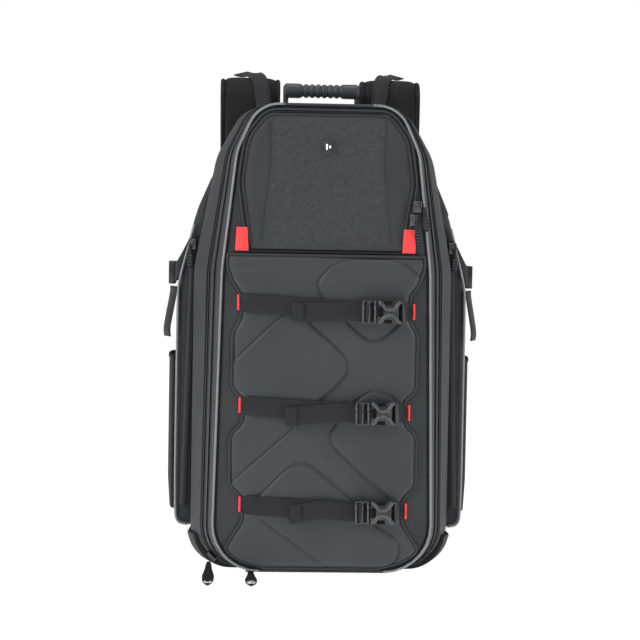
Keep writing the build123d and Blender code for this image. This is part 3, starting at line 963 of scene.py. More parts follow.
def toward(point: Point2, centre: Point2, outline: Sequence[Point2]) -> Point2:
    """Where the line from a centre to a point crosses an outline round that centre."""
    dx, dz = point[0] - centre[0], point[1] - centre[1]
    for index, (ax, az) in enumerate(outline):
        bx, bz = outline[(index + 1) % len(outline)]
        ex, ez = bx - ax, bz - az
        cross = dx * ez - dz * ex
        if abs(cross) < 1e-9:
            continue
        reach = ((ax - centre[0]) * ez - (az - centre[1]) * ex) / cross
        share = ((ax - centre[0]) * dz - (az - centre[1]) * dx) / cross
        if reach > 0 and -1e-6 <= share <= 1 + 1e-6:
            return centre[0] + dx * reach, centre[1] + dz * reach
    return outline[0]


@dataclass
class LidBody:
    """Lid between the main zip and the front panel, with the reflective piping round its front."""

    wall: float = 4.0
    pocket_centre: Point2 = (0.0, 418.0)

    def skin(self) -> None:
        """Gusset, front border and lining, open behind the top pocket's flap."""
        mouth = offset_outline(rounded_outline(both_sides(FLAP_SIDE)), -3.0)

        def mouth_ring(ring: Ring, y: float) -> Ring:
            """The pocket's mouth matched point by point to a ring of the lid."""
            hole = [toward((x, z), self.pocket_centre, mouth) for x, _, z in ring]
            return [(x, y, z) for x, z in hole]

        back = SEAM_Y - 0.4
        rings = [body_ring(back - 0.2, -2.5), body_ring(back, -0.8), body_ring(back - 0.6, 0.0)]
        rings += [body_ring(y) for y in (-76, -82, -88, -94, -97.5)]
        rings += [body_ring(-99.3, -0.8), body_ring(FRONT_Y, -2.6), body_ring(FRONT_Y, -6)]
        outer = mouth_ring(rings[-1], FRONT_Y)
        between = [tuple(a + (b - a) * 0.5 for a, b in zip(p, q)) for p, q in zip(rings[-1], outer)]
        rings += [between, outer, mouth_ring(rings[-1], FRONT_Y + self.wall)]
        inside = body_ring(FRONT_Y + self.wall, -self.wall - 3)
        rings += [inside, body_ring(FRONT_Y + self.wall + 3, -self.wall), body_ring(back - 1.5, -self.wall)]
        rings.append(rings[0])
        dress(loft("lid_skin", rings), BORDER_FABRIC, Body.LID, "lid_shell")
        dress(polished("pocket_lining", 0.5), LINING, Body.LID, "pocket_lining")

    def piping(self) -> None:
        """Beaded reflective piping up both sides, and plain binding along the bottom and the top."""
        outline = offset_outline(rounded_outline(both_sides(PANEL_SIDE)), -0.5)
        path = line_through([(x, FRONT_Y - 1.7, z) for x, z in outline], 2.5, closed=True)
        nodes = ["front_piping"]
        for sign, label in ((-1, "left"), (1, "right")):
            side = sorted((point for point in path if point.x * sign > 46), key=lambda point: point.z)
            side = [point for point in side if abs(point.x) > 66 or point.z > 250]
            dress(tube(f"front_piping_{label}", side, 2.5, sides=10), PIPING, Body.LID, *nodes)
            nodes = []
        dress(tube("front_edge_binding", path, 2.2, closed=True, sides=8), BORDER_FABRIC, Body.LID)
        flange = offset_outline(rounded_outline(both_sides(PANEL_SIDE)), -3.2)
        path = line_through([(x, FRONT_Y - 0.2, z) for x, z in flange], 2.5, closed=True)
        dress(tube("front_piping_flange", path, 2.6, 1.0, closed=True, sides=8), BINDING_AND_SHADE, Body.LID)

    def gusset(self) -> None:
        """Ribbed band on the gusset beside the main zip."""
        path = [Vector(point) for point in body_ring(-83.0, 0.1)]
        dress(tube("lid_rib_band", path, 1.2, 9.0, closed=True, sides=8), ZIP_TAPE, Body.LID)

    def build(self) -> None:
        """Make every piece of the lid's body."""
        self.skin()
        self.piping()
        self.gusset()


@dataclass(frozen=True)
class Groove:
    """Line pressed into a moulded panel.

    Attributes:
        points: (x, z) corners of the line.
        raised: 1 if the panel rises on the line's left, -1 on its right, 0 on neither side.
        depth: Depth of the line.
        bevel: Width of the slope on its raised side.
    """

    points: Sequence[Point2]
    raised: int = 0
    depth: float = 1.8
    bevel: float = 4.2

    def distances(self, x: np.ndarray, z: np.ndarray) -> tuple[np.ndarray, np.ndarray]:
        """Distance from each spot to the line, and which side of it the spot lies on."""
        line = smooth_line(self.points)
        best = np.full(x.shape, 1e9)
        side = np.zeros(x.shape)
        for (ax, az), (bx, bz) in zip(line, line[1:]):
            dx, dz = bx - ax, bz - az
            share = np.clip(((x - ax) * dx + (z - az) * dz) / (dx * dx + dz * dz), 0, 1)
            away_x, away_z = x - ax - share * dx, z - az - share * dz
            distance = np.hypot(away_x, away_z)
            nearer = distance < best
            best = np.where(nearer, distance, best)
            side = np.where(nearer, np.sign(dx * away_z - dz * away_x), side)
        return best, side

    def drop(self, x: np.ndarray, z: np.ndarray) -> np.ndarray:
        """How far the panel's face falls at each spot because of this line."""
        distance, side = self.distances(x, z)
        valley = self.depth * np.exp(-(distance / 1.0) ** 2)
        if not self.raised:
            return valley
        inward = np.clip(1 - distance / self.bevel, 0, 1)
        rounded = 2.0 * (1 - np.sqrt(1 - inward ** 2))
        plateau = -1.0 * np.exp(-(distance / 26.0) ** 2)
        lower = 1.3 * np.exp(-(distance / 14.0) ** 2)
        return valley + np.where(side == self.raised, rounded + plateau, lower)


def relief_panel(name: str, half_width: Callable[[float], float], low: float, high: float, back: float,
                 rise: Callable[[np.ndarray, np.ndarray, np.ndarray], np.ndarray],
                 step: float = 1.4) -> bpy.types.Object:
    """Closed panel with a flat back and a face of varying height.

    Args:
        name: Object's name.
        half_width: Half width of the panel at a height.
        low: Height of its bottom edge.
        high: Height of its top edge.
        back: Depth of its flat back.
        rise: Thickness at each x, z and distance from the edge.
        step: Distance between neighbouring points.
    """
    heights = np.linspace(low, high, round((high - low) / step) + 1)
    widest = max(half_width(z) for z in heights)
    shares = np.linspace(-1, 1, 2 * round(widest / step) + 1)
    widths = np.array([half_width(z) for z in heights])
    x = widths[:, None] * shares[None, :]
    z = np.repeat(heights[:, None], len(shares), axis=1)
    edge = np.minimum(widths[:, None] - np.abs(x), np.minimum(z - low, high - z))
    face = back - rise(x, z, edge)
    rows, columns = x.shape
    points = [(x[r, c], face[r, c], z[r, c]) for r in range(rows) for c in range(columns)]
    faces = [(r * columns + c, r * columns + c + 1, (r + 1) * columns + c + 1, (r + 1) * columns + c)
             for r in range(rows - 1) for c in range(columns - 1)]
    rim = [(0, c) for c in range(columns)] + [(r, columns - 1) for r in range(1, rows)]
    rim += [(rows - 1, c) for c in range(columns - 2, -1, -1)] + [(r, 0) for r in range(rows - 2, 0, -1)]
    first = len(points)
    points += [(x[r, c], back, z[r, c]) for r, c in rim]
    for index, (r, c) in enumerate(rim):
        following = (index + 1) % len(rim)
        ahead = rim[following]
        faces.append((r * columns + c, ahead[0] * columns + ahead[1], first + following, first + index))
    points.append((0.0, back, (low + high) / 2))
    for index in range(len(rim)):
        faces.append((first + index, first + (index + 1) % len(rim), len(points) - 1))
    return make_mesh(name, points, faces)


def eased(value: np.ndarray) -> np.ndarray:
    """Smooth step from 0 to 1."""
    value = np.clip(value, 0, 1)
    return value * value * (3 - 2 * value)


@dataclass
class QuiltedPanel:
    """Moulded lower front panel with scalloped edges and pressed lines."""

    outline: list[Point2] = field(default_factory=lambda: [
        (104, 341), (105, 330), (99, 312), (89.5, 300), (89.5, 273), (98, 258), (98, 200), (86.3, 189),
        (86.3, 163), (99, 150), (99, 97), (84.8, 84), (84.8, 58), (104, 28), (88, 16.5), (60, 8.5)])
    thickness: float = 5.0
    grooves: list[Groove] = field(default_factory=lambda: [
        Groove([(-2, 295), (-9, 309), (-7, 317), (11.5, 337), (78.5, 339), (101.7, 317)], raised=-1),
        Groove([(-97, 228), (-48, 275.5)], raised=-1),
        Groove([(-14, 267), (18, 239.5), (25, 226), (20.7, 212), (-6, 186)], raised=-1),
        Groove([(23.6, 270.5), (41, 254.6), (52, 251), (64, 256), (78, 271)], raised=-1),
        Groove([(32, 185), (43, 195), (54, 200), (66, 196), (79, 186)], raised=-1),
        Groove([(-96, 100.5), (-32, 158)], raised=-1),
        Groove([(13, 164), (6.5, 153), (9, 142), (16, 134), (71, 84)], raised=1),
        Groove([(-70, 82), (-37, 117), (-24, 122), (-10, 118), (32, 80)], raised=-1),
        Groove([(-66, 62), (10, 8)], depth=1.3),
        Groove([(57, 55), (77, 43), (83, 32), (80, 17), (63, 8)], raised=-1),
        Groove([(-99, 322), (-40, 322)], depth=0.8),
    ])

    def half_width(self, z: float) -> float:
        """Half width at a height, with the scallops' corners eased."""
        heights = [point[1] for point in reversed(self.outline)]
        widths = [point[0] for point in reversed(self.outline)]
        reach = min(4.0, z - heights[0], heights[-1] - z)
        around = [np.interp(z + shift * reach, heights, widths) for shift in (-1, -0.5, 0, 0.5, 1)]
        return float(np.mean(around))

    def rise(self, x: np.ndarray, z: np.ndarray, edge: np.ndarray) -> np.ndarray:
        """Thickness of the foam at each spot."""
        drops = np.array([groove.drop(x, z) for groove in self.grooves])
        drop = drops.max(axis=0) + drops.min(axis=0)
        swell = 0.5 * np.cos(x / 70) * np.sin(z / 44)
        full = self.thickness - 0.6 + swell - drop
        return 1.2 + (np.maximum(full, 0.8) - 1.2) * eased(edge / 7.0)

    def welt(self) -> None:
        """Raised lip round the panel, with painted shade in the gap inside it and a stitch line outside it.
        """
        low, high = self.outline[-1][1], self.outline[0][1]
        heights = np.linspace(low, high, 120)
        right = [(self.half_width(z), z) for z in heights]
        loop = right + [(-x, z) for x, z in reversed(right)]
        path = line_through([(x, FRONT_Y - 1.4, z) for x, z in loop], 2.5, closed=True)
        dress(tube("quilt_welt", path, 2.6, 3.2, closed=True, sides=10), BORDER_FABRIC, Body.LID)
        # A near-black cord in the gap inside the welt: painted shade in the crease.
        gap = offset_outline(loop, -2.4)
        path = line_through([(x, FRONT_Y - 1.6, z) for x, z in gap], 2.5, closed=True)
        dress(tube("quilt_gap", path, 1.4, 1.0, closed=True, sides=6), BINDING_AND_SHADE, Body.LID)
        line = [Vector((x, FRONT_Y - 0.4, z)) for x, z in offset_outline(loop, 3.2)]
        STITCHES.along("quilt_stitches", [line + line[:1]], THREAD, Body.LID)

    def build(self) -> None:
        """Make the panel and its edge."""
        panel = relief_panel("quilted_panel_face", self.half_width, self.outline[-1][1], self.outline[0][1],
                             FRONT_Y - 0.05, self.rise)
        dress(panel, QUILT_FABRIC, Body.LID, "quilted_panel")
        self.welt()


@dataclass
class TopPocket:
    """Top pocket: flap with seams, inverted-U zip, sliders, red tabs and badge."""

    seam: list[Point2] = field(default_factory=lambda: [(69.5, 350), (62, 410), (59, 447), (62, 486)])
    puff: float = 3.2

    def half_width(self, z: float) -> float:
        """Half width of the flap at a height."""
        right = sorted((height, x) for x, height in rounded_outline(both_sides(FLAP_SIDE)) if x > 0)
        return float(np.interp(z, [height for height, _ in right], [x for _, x in right]))

    def rise(self, x: np.ndarray, z: np.ndarray, edge: np.ndarray) -> np.ndarray:
        """Thickness of the flap, drawn in along its two seams."""
        full = self.puff + 0.5 * np.cos(x / 45) + 0.3 * np.sin(z / 19 + x / 60)
        for sign in (-1, 1):
            groove = Groove([(sign * px, pz) for px, pz in self.seam], depth=1.2)
            full = full - groove.drop(x, z)
        return 0.6 + (full - 0.6) * eased(edge / 9.0)

    def flap(self) -> None:
        """Flap face, its edge welt and the two seams' stitches."""
        low, high = FLAP_SIDE[0][1] + 0.2, FLAP_SIDE[-1][1] - 0.2
        face = relief_panel("top_flap_face", self.half_width, low, high, FRONT_Y - 0.35, self.rise, step=1.8)
        dress(face, BORDER_FABRIC, Body.FLAP, "top_flap")
        face.data.materials.append(TWILL.build())
        heights, seam = [z for _, z in self.seam], [x for x, _ in self.seam]
        for polygon in face.data.polygons:
            x, _, z = polygon.center / MM
            polygon.material_index = int(abs(x) < np.interp(z, heights, seam))
        lines = []
        for sign in (-1, 1):
            for shift in (-2.2, 2.2):
                line = line_through([(sign * (x + shift), -103.9, z) for x, z in smooth_line(self.seam)], 6)
                lines.append(line)
        FINE_STITCHES.along("flap_seam_stitches", lines, THREAD, Body.FLAP)
        heights = np.linspace(low + 5, high - 1, 70)
        right = [(self.half_width(z) - 0.6, z) for z in heights]
        loop = right + [(-x, z) for x, z in reversed(right)]
        path = line_through([(x, FRONT_Y - 1.6, z) for x, z in loop], 2.5)
        dress(tube("flap_binding", path, 1.8, 2.4, sides=8), BORDER_FABRIC, Body.FLAP)

    def zip_line(self, out: float, y: float, low: float = 352.0) -> list[Vector]:
        """Inverted U round the flap at this distance outside it."""
        loop = offset_outline(rounded_outline(both_sides(FLAP_SIDE)), out)
        start = min(range(len(loop)), key=lambda i: abs(loop[i][1] - low) + (200 if loop[i][0] < 0 else 0))
        turned = loop[start:] + loop[:start]
        return [Vector((x, y, z)) for x, z in turned if z >= low]

    def zip(self) -> None:
        """Zip tape, teeth, its stitched guard and the sliders with their pulls."""
        tape = line_through(self.zip_line(1.6, FRONT_Y - 0.4), 2.5)
        dress(tube("top_zip_tape", tape, 3.0, 1.0, sides=8), BINDING_AND_SHADE, Body.LID, "top_zip_chain")
        ZIP_TEETH.along("top_zip_teeth", [self.zip_line(1.3, FRONT_Y - 1.0)], TEETH, Body.LID)
        guard = line_through(self.zip_line(4.0, FRONT_Y - 1.0), 2.5)
        dress(tube("top_zip_guard", guard, 2.4, 2.6, sides=8), BORDER_FABRIC, Body.LID)
        FINE_STITCHES.along("top_zip_stitches", [self.zip_line(6.6, FRONT_Y - 0.3)], THREAD, Body.LID)
        for name in ("upper", "lower"):
            Zipper(f"top_slider_{name}", f"top_pull_{name}", lean=3.0).build()

    def seam_row(self) -> None:
        """Shadowed seam between the flap and the quilted panel, with its row of stitches."""
        path = line_through([(-96, FRONT_Y - 0.8, 344.6), (96, FRONT_Y - 0.8, 344.6)], 6)
        dress(tube("front_seam", path, 3.0, 1.8, sides=8), BINDING_AND_SHADE, Body.LID)
        line = [Vector((-94, FRONT_Y - 1.9, 344.6)), Vector((94, FRONT_Y - 1.9, 344.6))]
        FINE_STITCHES.along("front_seam_stitches", [line], THREAD, Body.LID)

    def tabs(self) -> None:
        """Folded red tabs over the zip's ends."""
        for sign, label in ((-1, "left"), (1, "right")):
            x = sign * 89.5 - (2.6 if sign > 0 else 0.0)
            path = [Vector((x, FRONT_Y - 1.3, 345.2)), Vector((x, FRONT_Y - 3.1, 351)),
                    Vector((x, FRONT_Y - 3.4, 365)), Vector((x, FRONT_Y - 1.8, 369.5))]
            tab = ribbon(f"red_tab_{label}", smooth_line(path), 13.5, 1.8, across=X_AXIS,
                         spacing=1.5)
            for vertex in tab.data.vertices:
                # The fold narrows towards its upper end.
                share = (vertex.co.z / MM - 345.2) / 24.3
                vertex.co.x = (x + (vertex.co.x / MM - x) * (1.06 - 0.2 * share)) * MM
            dress(tab, RED, Body.LID, *(["red_tabs"] if sign < 0 else []))

    def badge(self) -> None:
        """Small plain badge with two light bars on it."""
        low, high = node_box("badge")
        dress(polished("badge", 0.8), BADGE, Body.FLAP, "badge")
        centre = (low + high) / 2
        bars = [((-1.9, -3.0), (-1.9, 3.0)), ((1.4, -1.4), (1.4, 1.4))]
        paths = [[Vector((centre.x + x, low.y - 0.1, centre.z + z)) for x, z in bar] for bar in bars]
        parts = [tube("part", path, 1.9, 0.8, sides=8) for path in paths]
        dress(joined("badge_mark", parts), BADGE_MARK, Body.FLAP)

    def build(self) -> None:
        """Make every piece of the top pocket."""
        self.flap()
        self.zip()
        self.seam_row()
        self.tabs()
        self.badge()


@dataclass
class Zipper:
    """Slider with a hanging pull, shaped over its CAD nodes."""

    slider: str
    pull: str
    lean: float = 0.0

    def build(self) -> None:
        """Slider with its bridge, and a drop-shaped pull, ribbed where its face is turned to the front."""
        dress(polished(self.slider, 0.9), METAL, self.slider, self.slider)
        low, high = node_box(self.slider)
        middle = (low + high) / 2
        bridge = [Vector((middle.x, low.y + 0.6, high.z - 2.2)),
                  Vector((middle.x, low.y - 0.9, high.z - 3.6)),
                  Vector((middle.x, low.y - 0.9, low.z + 4.0)),
                  Vector((middle.x, low.y + 0.6, low.z + 2.6))]
        path = line_through(smooth_line(bridge), 1.0)
        dress(tube(f"{self.slider}_bridge", path, 2.0, 1.2, sides=8), METAL, self.slider)
        low, high = node_box(self.pull)
        middle, size = (low + high) / 2, high - low
        up = Y_AXIS if size.x > size.y else X_AXIS
        top, tip = Vector((middle.x, middle.y, high.z - 1.5)), Vector((middle.x + self.lean, middle.y, low.z))
        pull = drop(f"{self.pull}_grip", top, tip, (max(size.x, size.y) + 0.8, min(size.x, size.y)), up)
        dress(pull, RUBBER, self.pull, self.pull)
        if size.x > size.y:
            # The grip ribs are in the lighter buckle plastic, a painted highlight on them.
            grips = [Vector((middle.x + self.lean * share, low.y, high.z - size.z * share))
                     for share in (0.5, 0.86)]
            PULL_GRIPS.along(f"{self.pull}_grips", [grips], BUCKLE_HIGHLIGHT, self.pull)


@dataclass
class FrontStrap:
    """One front strap: sewn webbing, buckle, loose tail and red bar-tacks."""

    name: str
    height: float
    centre: float
    end: float
    tail_end: float
    slant: float
    sag: float
    arch: float

    @property
    def buckle_body(self) -> str:
        """Body of the male half and the tail."""
        return f"buckle_{self.name}"

    def webbing(self) -> None:
        """Left and right stretches, pressed down to the panel at their sewn ends."""
        sewn = self.slanted(-self.end)
        left = [(-self.end, SEWN_Y, sewn), (-self.end + 4, -102.6, sewn),
                (-self.end + 10, -106.6, self.slanted(-self.end + 10)), (-55, -107.9, self.slanted(-55)),
                (0, WEBBING_Y, self.slanted(0)), (self.centre - 14, WEBBING_Y, self.height)]
        right = [(self.centre + 17, WEBBING_Y, self.height), (self.end - 9, -107.2, self.height),
                 (self.end - 4, -101.6, self.height), (self.end, SEWN_Y, self.height)]
        parts = [ribbon("part", [Vector(point) for point in smooth_line(line)], WEBBING_WIDTH, 1.5)
                 for line in (left, right)]
        dress(joined(f"front_webbing_{self.name}", parts), WEBBING, Body.LID,
              *(["front_straps"] if self.name == "top" else []))

    def slanted(self, x: float) -> float:
        """Height of the webbing's middle at this x: it climbs towards its left end."""
        buckle_edge = self.centre - 14
        share = max(0.0, (buckle_edge - x) / (buckle_edge + self.end))
        return self.height + self.slant * share ** 1.3

    def tacks(self) -> None:
        """Folded red tacks at both ends."""
        for sign, label in ((-1, "left"), (1, "right")):
            x, z = sign * (self.end + (0.2 if sign < 0 else 1.4)), self.slanted(sign * self.end)
            path = [Vector((x, -102.6, z - 8.2)), Vector((x, -103.1, z)), Vector((x, -102.6, z + 8.2))]
            tack = ribbon(f"red_tack_{self.name}_{label}", path, 2.7, 2.6, across=X_AXIS,
                          spacing=2)
            dress(tack, RED, Body.LID)

    def buckle(self) -> None:
        """Both halves, with the webbing folded round the bars of the ladder lock."""
        dress(polished(f"female_buckle_{self.name}", 1.1), BUCKLE, Body.LID, f"female_buckle_{self.name}")
        dress(polished(f"male_buckle_{self.name}", 0.9), BUCKLE, self.buckle_body, f"male_buckle_{self.name}")
        # The X arms are in the lighter buckle plastic, a painted highlight on them.
        bow = [(-5.6, 11.2), (-1.5, 8.4), (1.5, 3.4), (6.5, 2.2), (11.5, 3.4), (14.5, 8.4), (17.5, 11.2)]
        arms = []
        for sign in (1, -1):
            path = [(self.centre + x, BUCKLE_Y - 8.3, self.height + sign * z) for x, z in bow]
            arms.append(tube("part", line_through(smooth_line(path), 1.5), 3.6, 2.0, sides=10))
        dress(joined(f"buckle_cross_{self.name}", arms), BUCKLE_HIGHLIGHT, Body.LID)
        # Thin near-black plates in the buckle's openings: painted shade inside them.
        shade_plates = [make_block("part", (self.centre + x, BUCKLE_Y - 7.9, self.height + z), size, 0.6)
                 for x, z, size in ((-3.4, 0, (5.4, 0.7, 10.5)), (4.4, 9.6, (8.5, 0.7, 4.0)),
                                    (4.4, -9.6, (8.5, 0.7, 4.0)))]
        dress(joined(f"buckle_wells_{self.name}", shade_plates), HOLE_SHADE, Body.LID)
        # The ladder bars are in the lighter buckle plastic, a painted highlight on them.
        rails = []
        for x in (-21.8, -15.6, -9.2):
            path = [Vector((self.centre + x, BUCKLE_Y - 7.4, self.height + z)) for z in (-11.4, 11.4)]
            rails.append(tube("part", path, 2.0, 1.4, sides=8))
        dress(joined(f"buckle_rails_{self.name}", rails), BUCKLE_HIGHLIGHT, self.buckle_body)
        loop = [(self.centre - 12.2, -110.3), (self.centre - 14.5, -117.0), (self.centre - 18.5, -117.3),
                (self.centre - 20.6, -112.6), (self.centre - 24, TAIL_Y)]
        path = [Vector((x, y, self.height)) for x, y in smooth_line(loop)]
        dress(ribbon(f"buckle_wrap_{self.name}", path, WEBBING_WIDTH - 0.6, 1.4, spacing=1.5), WEBBING,
              self.buckle_body)

    def tail(self) -> None:
        """Loose end: a little slack, with a folded and stitched hem."""
        z, start, stop = self.height, self.tail_end, self.centre - 22.5
        end_z = z - self.sag
        middle = ((start + stop) / 2, -113.2, (z + end_z) / 2 + self.arch)
        path = [(stop, TAIL_Y, z), (stop - 14, -111.6, z), middle,
                (start + 12, -111.8, end_z + self.arch * 0.3), (start, -111.4, end_z)]
        main = ribbon("part", [Vector(p) for p in smooth_line(path)], WEBBING_WIDTH, 1.5)
        hem = [(start + 11, -113.4, end_z + self.arch * 0.25), (start + 4, -113.6, end_z),
               (start - 0.4, -112.6, end_z), (start - 0.6, -111.6, end_z)]
        fold = ribbon("part", [Vector(p) for p in smooth_line(hem)], WEBBING_WIDTH, 1.5, spacing=1.2)
        dress(joined(f"strap_tail_{self.name}_webbing", [main, fold]), WEBBING, self.buckle_body,
              f"strap_tail_{self.name}")
        lines = [[Vector((start + x, -114.3, end_z - 8.2)), Vector((start + x, -114.3, end_z + 8.2))]
                 for x in (2.6, 8.0)]
        FINE_STITCHES.along(f"tail_stitches_{self.name}", lines, THREAD, self.buckle_body)

    def build(self) -> None:
        """Make every piece of the strap."""
        self.webbing()
        self.tacks()
        self.buckle()
        self.tail()


@dataclass
class MainPull:
    """Long pull of the main zip, with its slider."""

    label: str

    def build(self) -> None:
        """Slider, tapered pull with grip ribs, and the metal eyelet at its end."""
        slider, pull = f"main_slider_{self.label}", f"main_pull_{self.label}"
        dress(polished(slider, 0.8), METAL, slider, slider)
        low, high = node_box(pull)
        x = (low.x + high.x) / 2
        slope = (high.z - low.z - 3.0) / (high.y - low.y)
        top, tip = Vector((x, high.y, high.z - 1.5)), Vector((x, low.y, low.z + 1.5))
        dress(drop(f"{pull}_grip", top, tip, (high.x - low.x, 3.0), Z_AXIS), RUBBER, pull, pull)
        grips = [Vector((x, high.y - reach, high.z - 0.6 - slope * reach)) for reach in (16.0, 46.0)]
        PULL_GRIPS.along(f"{pull}_grips", [grips], RUBBER, pull, up=Z_AXIS)
        ring = [Vector((x + 3.2 * math.cos(a), low.y + 6.5 + 4.6 * math.sin(a), low.z + 3.1))
                for a in np.linspace(0, 2 * math.pi, 20, endpoint=False)]
        dress(tube(f"{pull}_eyelet", ring, 3.0, 1.6, closed=True, sides=8, up=Z_AXIS), STEEL, pull)


# ---------------------------------------------------------------------------------------------- sides


def sided(make: Callable[[], bpy.types.Object], name: str, side: Side) -> bpy.types.Object:
    """Piece made on the right, or its mirror image on the left."""
    obj = make()
    if side is Side.RIGHT:
        obj.name = name
        return obj
    copy = mirrored(obj, name)
    bpy.data.objects.remove(obj)
    return copy


@dataclass
class SidePocket:
    """Side pocket with its zip and piping, the bottle pocket outside it and the compression strap."""

    side: Side
    edge_radius: float = 9.0

    def section(self, y: float, distance: float) -> Ring:
        """Section of the pocket at a depth, moved outwards by a distance."""
        lean = 5.0 * (y - WING_FRONT_Y) / (WING_BACK_Y - WING_FRONT_Y)
        corners = [(137 - lean, WING_BOTTOM + 1, 1), (WING_WIDTH, WING_BOTTOM, 14), (WING_WIDTH, 300, 90),
                   (140, 385, 160), (113, 448, 3), (136 - lean, 322, 60)]
        outline = rounded_outline(corners)
        moved = offset_outline(outline, distance)
        inner = 139.0 - lean
        return [(x, y, z) if x < inner else (mx, y, mz) for (x, z), (mx, mz) in zip(outline, moved)]

    def skin(self) -> bpy.types.Object:
        """Right pocket with soft edges and a slight bulge."""
        length, radius = WING_BACK_Y - WING_FRONT_Y, self.edge_radius
        front = [self.section(WING_FRONT_Y + radius * (1 - math.cos(a)), -radius * (1 - math.sin(a)))
                 for a in np.linspace(0, math.pi / 2, 6)]
        middle = [self.section(WING_FRONT_Y + length * share, 0.0) for share in (0.25, 0.4, 0.5, 0.6, 0.75)]
        back = [self.section(WING_BACK_Y - radius * (1 - math.sin(a)), -radius * (1 - math.cos(a)))
                for a in np.linspace(0, math.pi / 2, 6)]
        return loft("wing", front + middle + back, close_start=True, close_end=True)

    def zip_point(self, z: float, y: float, shift: float = 0.0) -> Vector:
        """Spot on the pocket's zip line at a height."""
        return Vector((self.side.value * (150.0 - 8.0 * (z - 62.0) / 298.0 + shift), y, z))

    def zip(self) -> None:
        """Zip tape and teeth down the pocket's front face."""
        label = self.side.label
        path = [self.zip_point(z, WING_FRONT_Y - 0.6) for z in np.linspace(62, 360, 60)]
        tape = ribbon(f"side_zip_tape_{label}", path, 7.4, 1.4, across=X_AXIS)
        dress(tape, ZIP_TAPE, Body.PACK, *(["side_zips"] if self.side is Side.LEFT else []))
        line = [self.zip_point(z, WING_FRONT_Y - 1.4) for z in (64, 358)]
        ZIP_TEETH.along(f"side_zip_teeth_{label}", [line], TEETH, Body.PACK)
        Zipper(f"side_slider_{label}", f"side_pull_{label}").build()

    def piping(self) -> None:
        """Silver piping up the pocket's outer front edge."""
        sign, label = self.side.value, self.side.label
        x = WING_WIDTH - 1.4
        corners = [(x - 14, 40.5), (x - 3, 42), (x, 54), (x, 180), (x, 296), (x - 1.6, 312), (141.5, 372)]
        path = line_through([(sign * px, WING_FRONT_Y - 1.0, pz) for px, pz in smooth_line(corners)], 2.5)
        pipe = tube(f"wing_piping_{label}", path, 3.0, sides=10)
        dress(pipe, PIPING, Body.PACK, *(["wing_piping"] if self.side is Side.LEFT else []))

    def bottle_pocket(self) -> bpy.types.Object:
        """Net pocket that bows out from the pocket's outer face."""
        rings: list[Ring] = []
        heights = [56, 58, 64, 90, 130, 170, 205, 222, 226]
        for z in heights:
            grow = min(1.0, 0.72 + (z - 56) / 110)
            outer = [(WING_WIDTH + 0.4 + 8.2 * grow * math.sin(math.pi * share) ** 0.45, 74 * share, z)
                     for share in np.linspace(0, 1, 21)]
            inner = [(max(WING_WIDTH + 0.2, x - 1.5), 37 + (y - 37) * 0.96, z) for x, y, z in reversed(outer)]
            rings.append(outer + inner)
        return loft("bottle", rings, close_start=True, close_end=True)

    def bottle_trim(self) -> bpy.types.Object:
        """Bound upper edge of the bottle pocket."""
        path = [Vector((WING_WIDTH + 1.0 + 7.4 * math.sin(math.pi * share) ** 0.45, 74 * share, 225))
                for share in np.linspace(0, 1, 25)]
        return tube("trim", line_through(path, 2), 2.2, 6.0, sides=8, up=Z_AXIS)

    def strap(self) -> None:
        """Compression strap: webbing before and behind the buckle, and its hanging tail."""
        sign, label = self.side.value, self.side.label
        z, x = 318.0, WING_WIDTH + 1.1
        # The pocket narrows above the strap's lower edge, so the webbing leans in with it.
        front = [(x - 13, -13.4, z + 26), (x - 7, -13, z + 14), (x - 1.5, -10, z + 4), (x + 0.4, -4, z),
                 (x + 0.4, 14, z)]
        rear = [(x + 0.4, 47, z), (x, 62, z), (x - 1.0, 77, z)]
        paths = [[Vector((sign * px, y, pz)) for px, y, pz in smooth_line(line)] for line in (front, rear)]
        parts = [ribbon("part", path, WEBBING_WIDTH, 1.5) for path in paths]
        dress(joined(f"side_webbing_{label}", parts), WEBBING, Body.PACK,
              *(["side_straps"] if self.side is Side.LEFT else []))
        buckle_body = f"side_buckle_{label}"
        male = f"side_buckle_male_{label}"
        dress(polished(male, 0.9), BUCKLE, buckle_body, male)
        tail = [(x + 2.6, -4, 303.5), (x + 2.2, -4, 298), (x + 7.0, -4, 272), (x + 9.6, -4, 256),
                (x + 8.6, -4, 248)]
        path = [Vector((sign * px, y, pz)) for px, y, pz in smooth_line(tail)]
        band = ribbon(f"side_tail_{label}", path, WEBBING_WIDTH - 1, 1.5,
                      across=Vector((sign * 0.4, 0.92, 0)))
        dress(band, WEBBING, buckle_body, f"side_strap_tail_{label}")

    def build(self) -> None:
        """Make every piece on this side."""
        label = self.side.label
        dress(sided(self.skin, f"wing_{label}", self.side), SHELL_FABRIC, Body.PACK, f"side_pocket_{label}")
        self.zip()
        self.piping()
        pocket = sided(self.bottle_pocket, f"bottle_net_{label}", self.side)
        dress(pocket, MESH, Body.PACK, f"bottle_pocket_{label}")
        dress(sided(self.bottle_trim, f"bottle_trim_{label}", self.side), BINDING_AND_SHADE, Body.PACK)
        self.strap()


# ---------------------------------------------------------------------------------------------- harness


